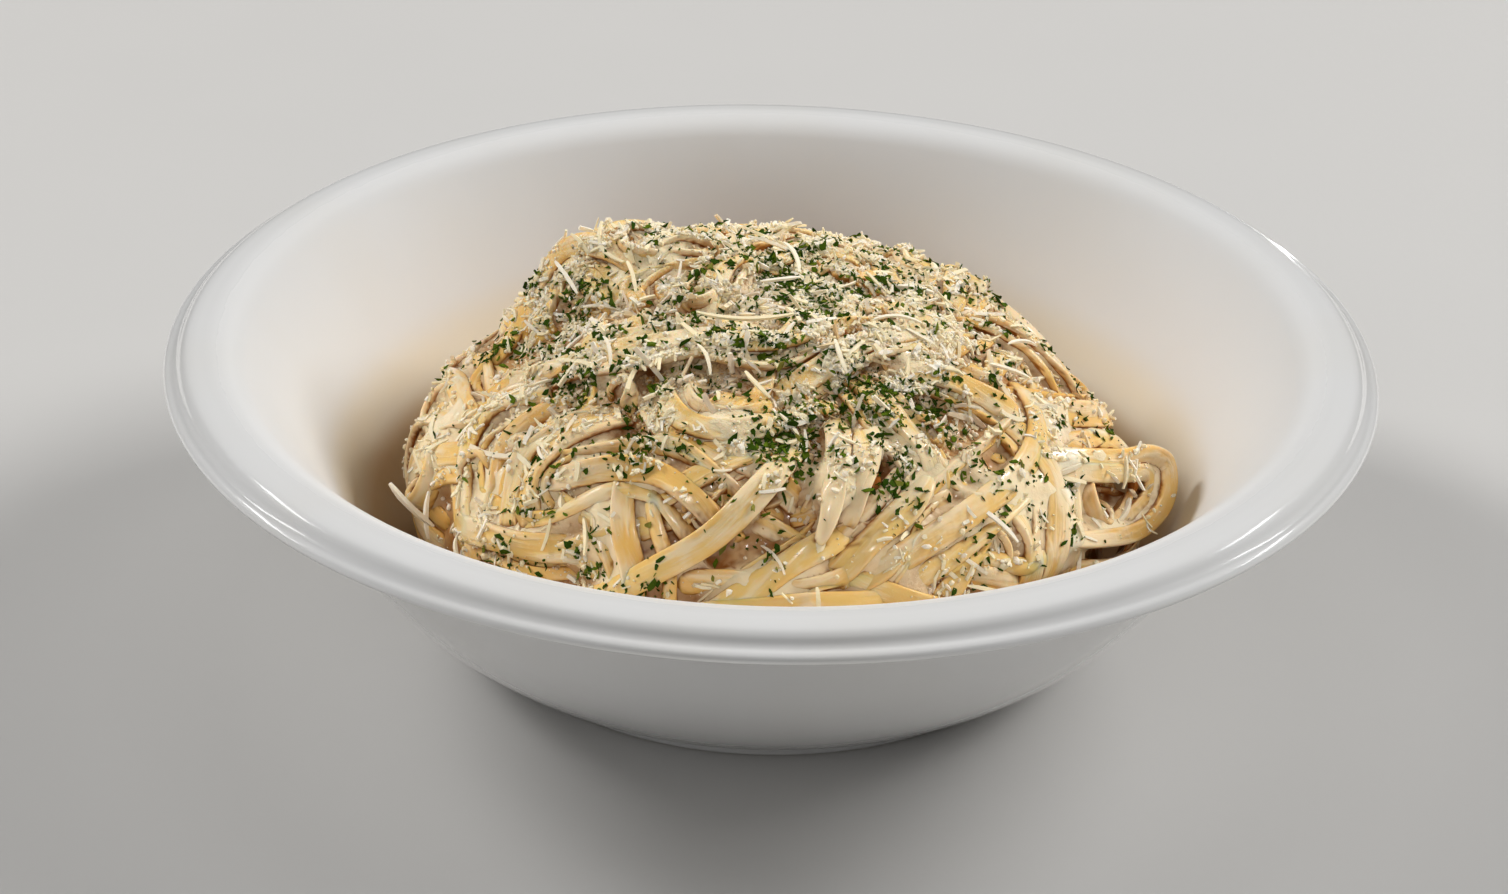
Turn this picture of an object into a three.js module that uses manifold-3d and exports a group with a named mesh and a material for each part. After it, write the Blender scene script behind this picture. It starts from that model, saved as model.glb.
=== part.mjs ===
// Fettuccine alfredo heaped in a deep porcelain bowl with a wide arched rim.
// Millimetres, +Z up. The foot ring stands on z = 0 and the bowl's axis is the Z axis.
// The heap is described from its own centre by azimuth (0 is +X, -90 the front) and elevation.
import * as THREE from "three";
import { mergeVertices } from "three/addons/utils/BufferGeometryUtils.js";
import Module from "manifold-3d";

// Bowl: radii and heights of its section.
const RIM_RADIUS = 148;
const BOWL_HEIGHT = 77;
const CREST_RADIUS = 138; // the highest ring of the arched rim
const RIM_ARCH_RADIUS = 14.5;
const LIP_RADIUS = 1.6;
const LIP_UNDERSIDE = -95; // degrees round the lip at which its underside starts
const WALL_SLOPE = 56; // degrees, steep part of the well
const WALL_FOOT = [108.5, 44.6]; // radius and height where the steep wall starts to curve in
const WALL_BEND = 19; // pull of the curve along the wall
const FLOOR_BEND = 21; // and how far inside the wall's foot it levels out
const FLOOR_RADIUS = 56;
const FLOOR_EDGE_Z = 9;
const FLOOR_DISH = 0.4; // rise of the floor just outside its flat middle
const FLOOR_Z = 8.4;
const BODY_SHOULDER = [113.8, 41.5]; // outside of the body, halfway up
const BODY_BELLY = [100.2, 15.7];
const BODY_FOOT = [77.5, 3.6];
const UNDER_RIM = [[126.5, 63.2], [131.5, 67.6], [138.5, 69.9]];
const FOOT_OUTER = 75.5;
const FOOT_INNER = 69.5;
const FOOT_RECESS = 3;
const FOOT_DRAFT = 1.2; // slope of the ring's inner side
const FOOT_EDGE = 0.8;
const FOOT_COLLAR = [75.7, 3]; // waist between the ring and the body
const BODY_STEPS = 5;
const WALL_STEPS = 6;
const LIP_STEPS = 3;
const ARCH_STEPS = 7;
const BOWL_SEGMENTS = 64;

// Heap of noodles.
const WELL_GAP = 0.35; // clearance between the heap and the bowl
const WELL_SEGMENTS = 32;
const WELL_TOP = 130;
const HEAP_CENTRE_Z = 34;
const HEAP_RADIUS = 89.5;
const HEAP_RISE = 57;
const HEAP_SQUARENESS = 1.8;
const HEAP_LOWEST = -60; // elevation under which the core is a plain ball, cut off by the well
const SLOPE_STEP = 1.5; // degrees over which the heap's slope is measured
// Swellings of the heap: azimuth, elevation, spread in degrees, height.
const SWELLINGS = [
  [155, 46, 16, 9],
  [150, 66, 20, 2],
  [10, 46, 15, -4],
  [-98, 34, 13, 2],
  [-132, 22, 14, 1.5],
];
const CORE_INSET = 3.8; // the core lies this far under the heap's dressed outline
const CORE_RINGS = 14;
const CORE_SEGMENTS = 30;

// Noodles.
const NOODLE_WIDTH = 8;
const NOODLE_THICKNESS = 2.2;
const NOODLE_SINK = 1.5; // the ribbon's middle lies this far under the dressed outline
const NOODLE_DIVE = 3.2; // how much deeper a noodle's two ends go into the heap
const NOODLE_STEP = 10;
const FEWEST_STEPS = 4;
const LENGTH_SAMPLES = 20;
const SHARE_STEP = 0.02; // share of a noodle over which its direction is measured
const TIP_WIDTH = 0.25; // share of the width left at a pointed end
const BACK_NOODLES = 18;
const BACK_AZIMUTHS = [30, 172];
const BACK_ELEVATIONS = [3, 48];
const BACK_TURN = [26, 48]; // degrees of azimuth from end to end
const BACK_CLIMB = [-4, 20];
const BACK_WANDER = [-4, 4];
const BACK_LIFT = [0.5, 2.5];
const BACK_TILT = [-35, 35];

// Toppings.
const TOPPINGS = 60;
const SHRED_SHARE = 0.57; // the rest are flakes
const SHRED_SECTION = [1.5, 1.1];
const SHRED_LENGTH = [7, 15];
const SHRED_BEND = [-1.5, 1.5];
const FLAKE_RADIUS = [1.3, 2.2];
const FLAKE_THICKNESS = 0.9;
const FLAKE_SIDES = 5;
const FLAKE_TAPER = 0.8;
const FLAKE_NARROWING = 0.7;
const TOPPING_BITE = 0.35; // how deep a topping sits in what it lies on
const TOPPING_ELEVATIONS = [84, 14]; // degrees, from the crown down
const TOPPING_SCATTER = { azimuth: [-9, 9], elevation: [-3, 3] };
const TOPPING_CLEAR = 128; // distance from the heap's centre that is outside every noodle

// Noodles that show, each as stops of azimuth, elevation and lift over the outline.
const STRANDS = {
  longDiagonal: {
    stops: [[-117, 6, 0], [-108, 12, 1], [-99, 19, 2], [-91, 27, 1.5], [-84, 33, 0]],
    tilt: 12,
  },
  lowDiagonal: { stops: [[-100, 5, 0], [-92, 11, 0.5], [-84, 16, 0.5], [-76, 19, 0]], tilt: -8 },
  hangingTip: {
    stops: [[-70, 41, 0], [-75, 31, 2], [-78, 23, 3], [-82, 15, 2.5]],
    tilt: 30, pointed: true,
  },
  cutFlat: { stops: [[-80, 29, 1], [-72, 32, 2.5], [-64, 35, 1.5]], tilt: -25 },
  frontBase: { stops: [[-106, 5, 0], [-95, 8, 0.5], [-84, 9, 0.5], [-70, 8, 0]], tilt: 14 },
  riser: { stops: [[-79, 12, 0], [-71, 18, 0.5], [-63, 22, 1], [-55, 27, 0]], tilt: -18 },
  broadRight: {
    stops: [[-73, 12, 0], [-62, 16, 1], [-50, 19, 2], [-36, 21, 1.5], [-24, 24, 1], [-12, 29, 0]],
    tilt: 10,
  },
  ledgeLoop: {
    stops: [
      [-36, 25, 0], [-24, 17, 1], [-12, 9, 3], [-3, 5, 7],
      [1, 1, 9], [-6, -3, 7], [-20, -1, 4], [-36, 5, 1],
    ],
    tilt: 20,
  },
  ledgeSecond: { stops: [[-31, 20, 0], [-23, 12, 1.5], [-14, 6, 4], [-8, 1, 5]], tilt: -15 },
  dropRight: { stops: [[-29, 28, 1], [-31, 18, 2], [-36, 10, 1.5], [-40, 2, 0]], tilt: 8 },
  dropBeside: { stops: [[-45, 25, 0], [-43, 17, 1], [-42, 10, 0.5], [-44, 3, 0]], tilt: -12 },
  leftLoopOuter: {
    stops: [[-158, 21, 0], [-170, 15, 1], [-179, 8, 2], [-178, 1, 2], [-168, -6, 0]],
    tilt: 25,
  },
  leftLoopInner: {
    stops: [[-150, 18, 1], [-160, 13, 2], [-168, 6, 2], [-167, 0, 1], [-156, -2, 0]],
    tilt: -20,
  },
  leftVertical: {
    stops: [[-152, 31, 0], [-157, 24, 2], [-155, 17, 2], [-148, 11, 1], [-143, 3, 0]],
    tilt: 10,
  },
  leftMiddle: { stops: [[-138, 32, 0], [-141, 23, 1.5], [-138, 16, 1.5], [-135, 8, 0]], tilt: -14 },
  leftInner: { stops: [[-127, 35, 0], [-134, 28, 1.5], [-135, 20, 2], [-131, 11, 0]], tilt: 16 },
  leftLow: { stops: [[-152, 5, 0], [-142, 8, 1], [-132, 10, 1], [-122, 12, 0]], tilt: 10 },
  frontDrop: { stops: [[-120, 28, 0], [-115, 18, 1.5], [-111, 11, 1], [-110, 2, 0]], tilt: -10 },
  sweep: {
    stops: [[-143, 14, 0], [-131, 21, 1.5], [-121, 26, 2], [-111, 27, 1.5], [-102, 23, 0.5], [-95, 17, 0]],
    tilt: 8,
  },
  crownLeft: {
    stops: [[178, 28, 0], [168, 37, 1.5], [162, 45, 2.5], [165, 53, 1.5], [174, 60, 0]],
    tilt: 24,
  },
  crownBack: { stops: [[172, 56, 0], [158, 62, 2], [146, 67, 2], [118, 71, 0]], tilt: -20 },
  upperSweep: {
    stops: [[-160, 36, 0], [-149, 43, 1.5], [-137, 50, 2], [-120, 58, 2], [-92, 63, 0]],
    tilt: 12,
  },
  hump: { stops: [[-134, 66, 0], [-152, 74, 2], [-196, 80, 2.5], [-260, 77, 0]], tilt: 10 },
  bowlArc: { stops: [[-130, 60, 0], [-112, 59, 1], [-88, 59, 1.5], [-66, 63, 1], [-50, 70, 0]], tilt: -16 },
  ridge: {
    stops: [[-90, 45, 0], [-72, 52, 2], [-51, 56, 2.5], [-28, 54, 2], [-4, 47, 1], [12, 38, 0]],
    tilt: 14,
  },
  rightBright: { stops: [[20, 39, 0], [10, 32, 2], [4, 24, 2], [-2, 15, 0]], tilt: -22 },
  rightLow: { stops: [[-22, 27, 0], [-12, 21, 1], [1, 13, 2.5], [12, 6, 1]], tilt: 18 },
  centreVertical: { stops: [[-60, 49, 0], [-58, 38, 1.5], [-55, 29, 1], [-56, 21, 0]], tilt: -10 },
  centreSweep: { stops: [[-126, 45, 0], [-112, 38, 1.5], [-98, 37, 1.5], [-84, 41, 0]], tilt: 10 },
  rightVertical: { stops: [[-44, 48, 0], [-36, 41, 1.5], [-30, 33, 1.5], [-24, 24, 0]], tilt: 16 },
};

// Finishes.
const PORCELAIN = { color: 0xe9e7e2, roughness: 0.12, metalness: 0 };
const PASTA = { color: 0xecd9ae, roughness: 0.45, metalness: 0 };

const GOLDEN_ANGLE = 137.508; // degrees, and as a share of a turn
const GOLDEN_SHARE = 0.618;

const manifold = await Module();
manifold.setup();

// Repeatable random numbers between 0 and 1.
function randomFrom(seed) {
  let state = seed;
  return () => {
    state = (state + 0x6d2b79f5) | 0;
    let t = Math.imul(state ^ (state >>> 15), 1 | state);
    t = (t + Math.imul(t ^ (t >>> 7), 61 | t)) ^ t;
    return ((t ^ (t >>> 14)) >>> 0) / 4294967296;
  };
}

const radians = THREE.MathUtils.degToRad;
const degrees = THREE.MathUtils.radToDeg;
const between = (range, share) => range[0] + (range[1] - range[0]) * share;

// A closed three.js geometry as a solid that can be joined and cut.
function solid(geometry) {
  const bare = geometry.clone();
  for (const name of Object.keys(bare.attributes)) {
    if (name !== "position") bare.deleteAttribute(name);
  }
  const merged = mergeVertices(bare, 1e-4);
  const corners = [];
  for (let i = 0; i < merged.index.count; i += 3) {
    const [a, b, c] = [0, 1, 2].map((k) => merged.index.getX(i + k));
    if (a !== b && b !== c && c !== a) corners.push(a, b, c);
  }
  const mesh = new manifold.Mesh({
    numProp: 3,
    vertProperties: new Float32Array(merged.attributes.position.array),
    triVerts: new Uint32Array(corners),
  });
  return new manifold.Manifold(mesh);
}

// The largest single skin of a solid: inner hollows are filled and loose scraps dropped.
function largestSkin(body) {
  const mesh = body.getMesh();
  const welded = new Map(Array.from(mesh.mergeFromVert, (from, i) => [from, mesh.mergeToVert[i]]));
  const triangles = Array.from(mesh.triVerts, (corner) => welded.get(corner) ?? corner);
  const parent = Array.from({ length: mesh.vertProperties.length / mesh.numProp }, (_, i) => i);
  const root = (i) => {
    while (parent[i] !== i) {
      parent[i] = parent[parent[i]];
      i = parent[i];
    }
    return i;
  };
  for (let i = 0; i < triangles.length; i += 3) {
    parent[root(triangles[i + 1])] = root(triangles[i]);
    parent[root(triangles[i + 2])] = root(triangles[i]);
  }
  const counts = new Map();
  for (let i = 0; i < triangles.length; i += 3) {
    const key = root(triangles[i]);
    counts.set(key, (counts.get(key) ?? 0) + 1);
  }
  const largest = [...counts.entries()].sort((a, b) => b[1] - a[1])[0][0];
  const points = [];
  const faces = [];
  const moved = new Map();
  for (const corner of triangles) {
    if (root(corner) !== largest) continue;
    if (!moved.has(corner)) {
      moved.set(corner, points.length / 3);
      const start = corner * mesh.numProp;
      points.push(...mesh.vertProperties.slice(start, start + 3));
    }
    faces.push(moved.get(corner));
  }
  return meshGeometry(points, faces);
}

function meshGeometry(points, faces) {
  const geometry = new THREE.BufferGeometry();
  geometry.setAttribute("position", new THREE.Float32BufferAttribute(points, 3));
  geometry.setIndex(faces);
  geometry.computeVertexNormals();
  return geometry;
}

// Bowl ---------------------------------------------------------------------------------------

function arc(centreR, centreZ, radius, from, to, steps) {
  return Array.from({ length: steps + 1 }, (_, i) => {
    const angle = radians(between([from, to], i / steps));
    return [centreR + radius * Math.cos(angle), centreZ + radius * Math.sin(angle)];
  });
}

// Points along a curve with one or two control points between its ends.
function curve(points, steps) {
  const Bezier = points.length === 4 ? THREE.CubicBezierCurve : THREE.QuadraticBezierCurve;
  const path = new Bezier(...points.map((p) => new THREE.Vector2(...p)));
  return path.getPoints(steps).map((p) => [p.x, p.y]);
}

// The well's section, from the top of its wall down to the middle of its floor.
function wellProfile() {
  const slope = radians(WALL_SLOPE);
  const wallTop = [
    CREST_RADIUS - RIM_ARCH_RADIUS * Math.sin(slope),
    BOWL_HEIGHT - RIM_ARCH_RADIUS * (1 - Math.cos(slope)),
  ];
  const steep = [WALL_FOOT[0] - WALL_BEND * Math.cos(slope), WALL_FOOT[1] - WALL_BEND * Math.sin(slope)];
  const level = [WALL_FOOT[0] - FLOOR_BEND, FLOOR_EDGE_Z + FLOOR_DISH];
  const bottom = curve([WALL_FOOT, steep, level, [FLOOR_RADIUS, FLOOR_EDGE_Z]], WALL_STEPS);
  return [wallTop, ...bottom, [0, FLOOR_Z]];
}

// The whole section: the foot ring, up the outside, round the lip and over the rim into the well.
function bowlProfile() {
  const archZ = BOWL_HEIGHT - RIM_ARCH_RADIUS;
  const lipR = RIM_RADIUS - LIP_RADIUS;
  const lipReach = RIM_ARCH_RADIUS - LIP_RADIUS;
  const lipAngle = degrees(Math.acos((lipR - CREST_RADIUS) / lipReach));
  const lipZ = archZ + lipReach * Math.sin(radians(lipAngle));
  return [
    [0, FOOT_RECESS],
    [FOOT_INNER - FOOT_DRAFT, FOOT_RECESS],
    [FOOT_INNER, 0],
    [FOOT_OUTER - FOOT_EDGE, 0],
    [FOOT_OUTER, FOOT_EDGE],
    FOOT_COLLAR,
    ...curve([BODY_FOOT, BODY_BELLY, BODY_SHOULDER], BODY_STEPS),
    ...UNDER_RIM,
    ...arc(lipR, lipZ, LIP_RADIUS, LIP_UNDERSIDE, lipAngle, LIP_STEPS).slice(0, -1),
    ...arc(CREST_RADIUS, archZ, RIM_ARCH_RADIUS, lipAngle, 90 + WALL_SLOPE, ARCH_STEPS).slice(0, -1),
    ...wellProfile(),
  ];
}

function turned(profile, segments) {
  const geometry = new THREE.LatheGeometry(profile.map((p) => new THREE.Vector2(...p)), segments);
  return geometry.rotateX(Math.PI / 2);
}

// Heap ---------------------------------------------------------------------------------------

function direction(azimuth, elevation) {
  const a = radians(azimuth);
  const e = radians(elevation);
  return new THREE.Vector3(Math.cos(e) * Math.cos(a), Math.cos(e) * Math.sin(a), Math.sin(e));
}

// Distance of the heap's dressed outline from its centre.
function heapReach(azimuth, elevation) {
  const towards = direction(azimuth, elevation);
  const level = Math.hypot(towards.x, towards.y);
  if (elevation < 0) return HEAP_RADIUS / level;
  const sideways = (level / HEAP_RADIUS) ** HEAP_SQUARENESS;
  const upwards = (towards.z / HEAP_RISE) ** HEAP_SQUARENESS;
  let reach = (sideways + upwards) ** (-1 / HEAP_SQUARENESS);
  for (const [a, e, spread, height] of SWELLINGS) {
    const away = degrees(towards.angleTo(direction(a, e)));
    reach += height * Math.exp(-((away / spread) ** 2));
  }
  return reach;
}

function heapPoint(azimuth, elevation, lift) {
  const point = direction(azimuth, elevation).multiplyScalar(heapReach(azimuth, elevation) + lift);
  return point.add(new THREE.Vector3(0, 0, HEAP_CENTRE_Z));
}

function heapNormal(azimuth, elevation) {
  const left = heapPoint(azimuth - SLOPE_STEP, elevation, 0);
  const right = heapPoint(azimuth + SLOPE_STEP, elevation, 0);
  const below = heapPoint(azimuth, elevation - SLOPE_STEP, 0);
  const above = heapPoint(azimuth, elevation + SLOPE_STEP, 0);
  const normal = right.sub(left).cross(above.sub(below)).normalize();
  return normal.dot(direction(azimuth, elevation)) < 0 ? normal.negate() : normal;
}

function heapCore() {
  const ball = new THREE.SphereGeometry(1, CORE_SEGMENTS, CORE_RINGS).rotateX(Math.PI / 2);
  const place = ball.attributes.position;
  for (let i = 0; i < place.count; i += 1) {
    const towards = new THREE.Vector3().fromBufferAttribute(place, i).normalize();
    const elevation = degrees(Math.asin(towards.z));
    const azimuth = degrees(Math.atan2(towards.y, towards.x));
    const point = elevation > HEAP_LOWEST
      ? heapPoint(azimuth, elevation, -CORE_INSET)
      : towards.multiplyScalar(HEAP_RADIUS);
    place.setXYZ(i, point.x, point.y, point.z);
  }
  return solid(ball);
}

// A flat noodle laid along stops on the heap, its broad side turned up by the heap's own slope.
function noodle({ stops, tilt, pointed = false }) {
  const route = new THREE.CatmullRomCurve3(stops.map((stop) => new THREE.Vector3(...stop)));
  const at = (share) => {
    const stop = route.getPoint(share);
    const dive = NOODLE_DIVE * Math.abs(2 * share - 1) ** 5;
    return heapPoint(stop.x, stop.y, stop.z - NOODLE_SINK - dive);
  };
  const samples = Array.from({ length: LENGTH_SAMPLES + 1 }, (_, i) => at(i / LENGTH_SAMPLES));
  const length = new THREE.CatmullRomCurve3(samples).getLength();
  const steps = Math.max(FEWEST_STEPS, Math.round(length / NOODLE_STEP));
  const frames = Array.from({ length: steps + 1 }, (_, i) => {
    const share = i / steps;
    const { x: azimuth, y: elevation } = route.getPoint(share);
    const ahead = at(Math.min(1, share + SHARE_STEP));
    const tangent = ahead.sub(at(Math.max(0, share - SHARE_STEP))).normalize();
    const lean = radians(tilt * Math.sin(Math.PI * share));
    const normal = heapNormal(azimuth, elevation).applyAxisAngle(tangent, lean);
    const side = tangent.clone().cross(normal).normalize();
    const face = side.clone().cross(tangent).normalize();
    const width = NOODLE_WIDTH * (pointed ? between([1, TIP_WIDTH], share ** 3) : 1);
    return { point: at(share), side, face, width };
  });
  const strip = new THREE.BoxGeometry(1, 1, 1, 1, 1, steps);
  const place = strip.attributes.position;
  for (let i = 0; i < place.count; i += 1) {
    const frame = frames[Math.round((0.5 - place.getZ(i)) * steps)];
    const corner = frame.point.clone()
      .addScaledVector(frame.side, place.getX(i) * frame.width)
      .addScaledVector(frame.face, place.getY(i) * NOODLE_THICKNESS);
    place.setXYZ(i, corner.x, corner.y, corner.z);
  }
  return solid(strip);
}

// Noodles over the far side, which wander up or down the heap from evenly turned starts.
function backNoodles() {
  const random = randomFrom(7);
  return Array.from({ length: BACK_NOODLES }, (_, i) => {
    const start = between(BACK_AZIMUTHS, (i * GOLDEN_SHARE) % 1);
    const low = between(BACK_ELEVATIONS, (i + 0.5) / BACK_NOODLES);
    const turn = between(BACK_TURN, random()) * (i % 2 ? 1 : -1);
    const climb = between(BACK_CLIMB, random());
    const stops = [0, 1 / 3, 2 / 3, 1].map((share) => [
      start + turn * share,
      low + climb * share + between(BACK_WANDER, random()),
      Math.sin(Math.PI * share) * between(BACK_LIFT, random()),
    ]);
    return { stops, tilt: between(BACK_TILT, random()) };
  });
}

// Toppings -----------------------------------------------------------------------------------

// Where a line from outside meets the dressed heap, with the slope of the face it meets.
function surfaceFinder(body) {
  const mesh = body.getMesh();
  const skin = new THREE.Mesh(meshGeometry(Array.from(mesh.vertProperties), Array.from(mesh.triVerts)));
  const centre = new THREE.Vector3(0, 0, HEAP_CENTRE_Z);
  return (azimuth, elevation) => {
    const towards = direction(azimuth, elevation);
    const start = towards.clone().multiplyScalar(TOPPING_CLEAR).add(centre);
    const hit = new THREE.Raycaster(start, towards.negate()).intersectObject(skin)[0];
    return { point: hit.point, normal: hit.face.normal.clone() };
  };
}

function laid(geometry, { point, normal }, spin) {
  const upright = new THREE.Quaternion().setFromUnitVectors(new THREE.Vector3(0, 0, 1), normal);
  const turn = new THREE.Quaternion().setFromAxisAngle(new THREE.Vector3(0, 0, 1), spin);
  const matrix = new THREE.Matrix4().compose(point, upright.multiply(turn), new THREE.Vector3(1, 1, 1));
  return geometry.applyMatrix4(matrix);
}

// A bent strip of grated cheese, its middle bitten into what it lies on.
function shred(length, bend) {
  const [width, height] = SHRED_SECTION;
  const strip = new THREE.BoxGeometry(length, width, height, 2, 1, 1);
  const place = strip.attributes.position;
  for (let i = 0; i < place.count; i += 1) {
    const along = (2 * place.getX(i)) / length;
    place.setY(i, place.getY(i) + bend * along * along);
  }
  return strip.translate(0, 0, height / 2 - TOPPING_BITE);
}

// A scrap of chopped leaf.
function flake(radius) {
  const disc = new THREE.CylinderGeometry(radius * FLAKE_TAPER, radius, FLAKE_THICKNESS, FLAKE_SIDES);
  disc.rotateX(Math.PI / 2).scale(1, FLAKE_NARROWING, 1);
  return disc.translate(0, 0, FLAKE_THICKNESS / 2 - TOPPING_BITE);
}

// Toppings thin out from the crown down, by the golden angle with a little scatter.
function toppings(find) {
  const random = randomFrom(23);
  return Array.from({ length: TOPPINGS }, (_, i) => {
    const outward = Math.sqrt((i + 0.5) / TOPPINGS);
    const azimuth = i * GOLDEN_ANGLE + between(TOPPING_SCATTER.azimuth, random());
    const elevation = between(TOPPING_ELEVATIONS, outward) + between(TOPPING_SCATTER.elevation, random());
    const spin = random() * Math.PI * 2;
    const isShred = (i * SHRED_SHARE) % 1 < SHRED_SHARE;
    const piece = isShred
      ? shred(between(SHRED_LENGTH, random()), between(SHRED_BEND, random()))
      : flake(between(FLAKE_RADIUS, random()));
    return solid(laid(piece, find(azimuth, elevation), spin));
  });
}

// Assembly -----------------------------------------------------------------------------------

function bowlGeometry() {
  return largestSkin(solid(turned(bowlProfile(), BOWL_SEGMENTS)));
}

// The space that the heap may fill: the well less its clearance, open upwards.
function wellSpace() {
  const profile = wellProfile().reverse();
  const shrunk = profile.map((point, i) => {
    const before = profile[Math.max(0, i - 1)];
    const after = profile[Math.min(profile.length - 1, i + 1)];
    const tangent = new THREE.Vector2(after[0] - before[0], after[1] - before[1]).normalize();
    return [Math.max(0, point[0] - tangent.y * WELL_GAP), point[1] + tangent.x * WELL_GAP];
  });
  shrunk[0][0] = 0;
  const wallTop = shrunk[shrunk.length - 1];
  return solid(turned([...shrunk, [wallTop[0], WELL_TOP], [0, WELL_TOP]], WELL_SEGMENTS));
}

function heapGeometry() {
  let heap = heapCore();
  for (const strand of [...Object.values(STRANDS), ...backNoodles()]) heap = heap.add(noodle(strand));
  for (const piece of toppings(surfaceFinder(heap))) heap = heap.add(piece);
  return largestSkin(heap.intersect(wellSpace()));
}

function named(name, geometry, finish) {
  const mesh = new THREE.Mesh(geometry, new THREE.MeshStandardMaterial(finish));
  mesh.name = name;
  return mesh;
}

const dish = new THREE.Group();
dish.add(named("bowl", bowlGeometry(), PORCELAIN));
dish.add(named("fettuccine", heapGeometry(), PASTA));

export default dish;
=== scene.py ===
"""Fettuccine alfredo heaped in a deep porcelain bowl, under grated cheese and chopped parsley.

Lengths in the tables below are millimetres, as a cook or a potter would measure them, and MM turns
them into metres. The heap is described from its own centre by azimuth (0 is +X, -90 the front) and
elevation, in degrees.
"""

import math
from collections import namedtuple

import bpy
import numpy as np
from bpy.props import FloatProperty, FloatVectorProperty, IntProperty, PointerProperty
from mathutils import Matrix, Vector, noise
from mathutils.bvhtree import BVHTree


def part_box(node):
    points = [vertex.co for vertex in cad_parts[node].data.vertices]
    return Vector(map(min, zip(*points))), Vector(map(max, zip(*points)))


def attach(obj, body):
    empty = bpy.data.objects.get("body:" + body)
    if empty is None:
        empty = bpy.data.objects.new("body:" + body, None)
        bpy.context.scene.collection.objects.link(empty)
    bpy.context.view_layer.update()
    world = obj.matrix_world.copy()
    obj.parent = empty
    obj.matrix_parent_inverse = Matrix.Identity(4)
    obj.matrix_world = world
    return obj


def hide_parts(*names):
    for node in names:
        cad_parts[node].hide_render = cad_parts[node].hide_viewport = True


bl_info = {
    "name": "Fettuccine Alfredo",
    "version": (1, 0, 0),
    "blender": (4, 5, 0),
    "location": "View3D > Sidebar > Fettuccine",
    "description": "A porcelain bowl of fettuccine in cream sauce, with cheese and parsley",
    "category": "Add Mesh",
}

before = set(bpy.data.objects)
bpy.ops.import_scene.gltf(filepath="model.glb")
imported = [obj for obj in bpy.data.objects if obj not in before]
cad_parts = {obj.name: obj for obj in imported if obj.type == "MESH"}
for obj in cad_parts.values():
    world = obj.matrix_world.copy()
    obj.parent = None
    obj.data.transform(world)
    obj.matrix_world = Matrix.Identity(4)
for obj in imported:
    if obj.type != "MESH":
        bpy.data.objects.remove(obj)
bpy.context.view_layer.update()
MM = 0.001

# Bowl section, outside from the foot up, then over the rim and down into the well.
FOOT = [
    (0, 3.0), (35, 3.0), (67.1, 3.0), (68.3, 2.5), (69.2, 0.8), (70.0, 0), (74.7, 0), (75.35, 0.3),
    (75.5, 0.8), (75.5, 1.8),
]
BODY_CURVE = [(75.6, 2.6), (77.5, 3.6), (100.2, 15.7), (113.8, 41.5)]
UNDER_RIM = [(121.0, 54.5), (126.5, 63.2), (131.5, 67.6), (138.5, 69.9)]
RIM_STEP = [
    (147.65, 71.15), (148.0, 72.05), (147.6, 72.85), (146.8, 73.35), (145.6, 73.7), (144.7, 74.35),
    (143.8, 75.55), (142.6, 76.4), (140.7, 76.85),
]
LIP_DROP = 0.4
SHOULDER_SLOPE = 46.0
WALL_FOOT = (108.5, 44.6)
WALL_BEND = 19.0
FLOOR_BEND = 21.0
FLOOR_RADIUS = 56.0
FLOOR_EDGE_Z = 9.0
FLOOR_DISH = 0.4
FLOOR_Z = 8.4
# Cuts along each stretch of the section.
BODY_CUTS, UNDER_RIM_CUTS, RIM_CUTS, ARCH_CUTS = 18, 22, 44, 18
WALL_CUTS, BOTTOM_CUTS, FLOOR_CUTS = 14, 22, 6
# Radii from which the glaze shines a little and in full, and heights where the sauce smear with its painted
# warm bounce and contact shadow starts and is full.
GLOSS_RADII = (132, 137)
SMEAR_AND_SHADE_HEIGHTS = (50, 28)
WALL_MARGIN = 0.6
# Metres under which points of the turned bowl are one, and edges nothing.
MERGE_UNDER, NO_LENGTH = 0.00001, 0.000001

# Heap of noodles.
HEAP_CENTRE = np.array([0.0, 0.0, 34.0])
HEAP_RADIUS = 89.5
HEAP_RISE = 57.0
HEAP_SQUARENESS = 1.8
SWELLINGS = [(155, 46, 16, 9), (150, 66, 20, 2), (10, 46, 15, -4), (-98, 34, 13, 2), (-132, 22, 14, 1.5)]
WELL_GAP = 0.35
SLOPE_STEP = 1.5
NOODLE_SINK = 1.5
NOODLE_DIVE = 3.2
TIP_WIDTH = 0.25

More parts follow.
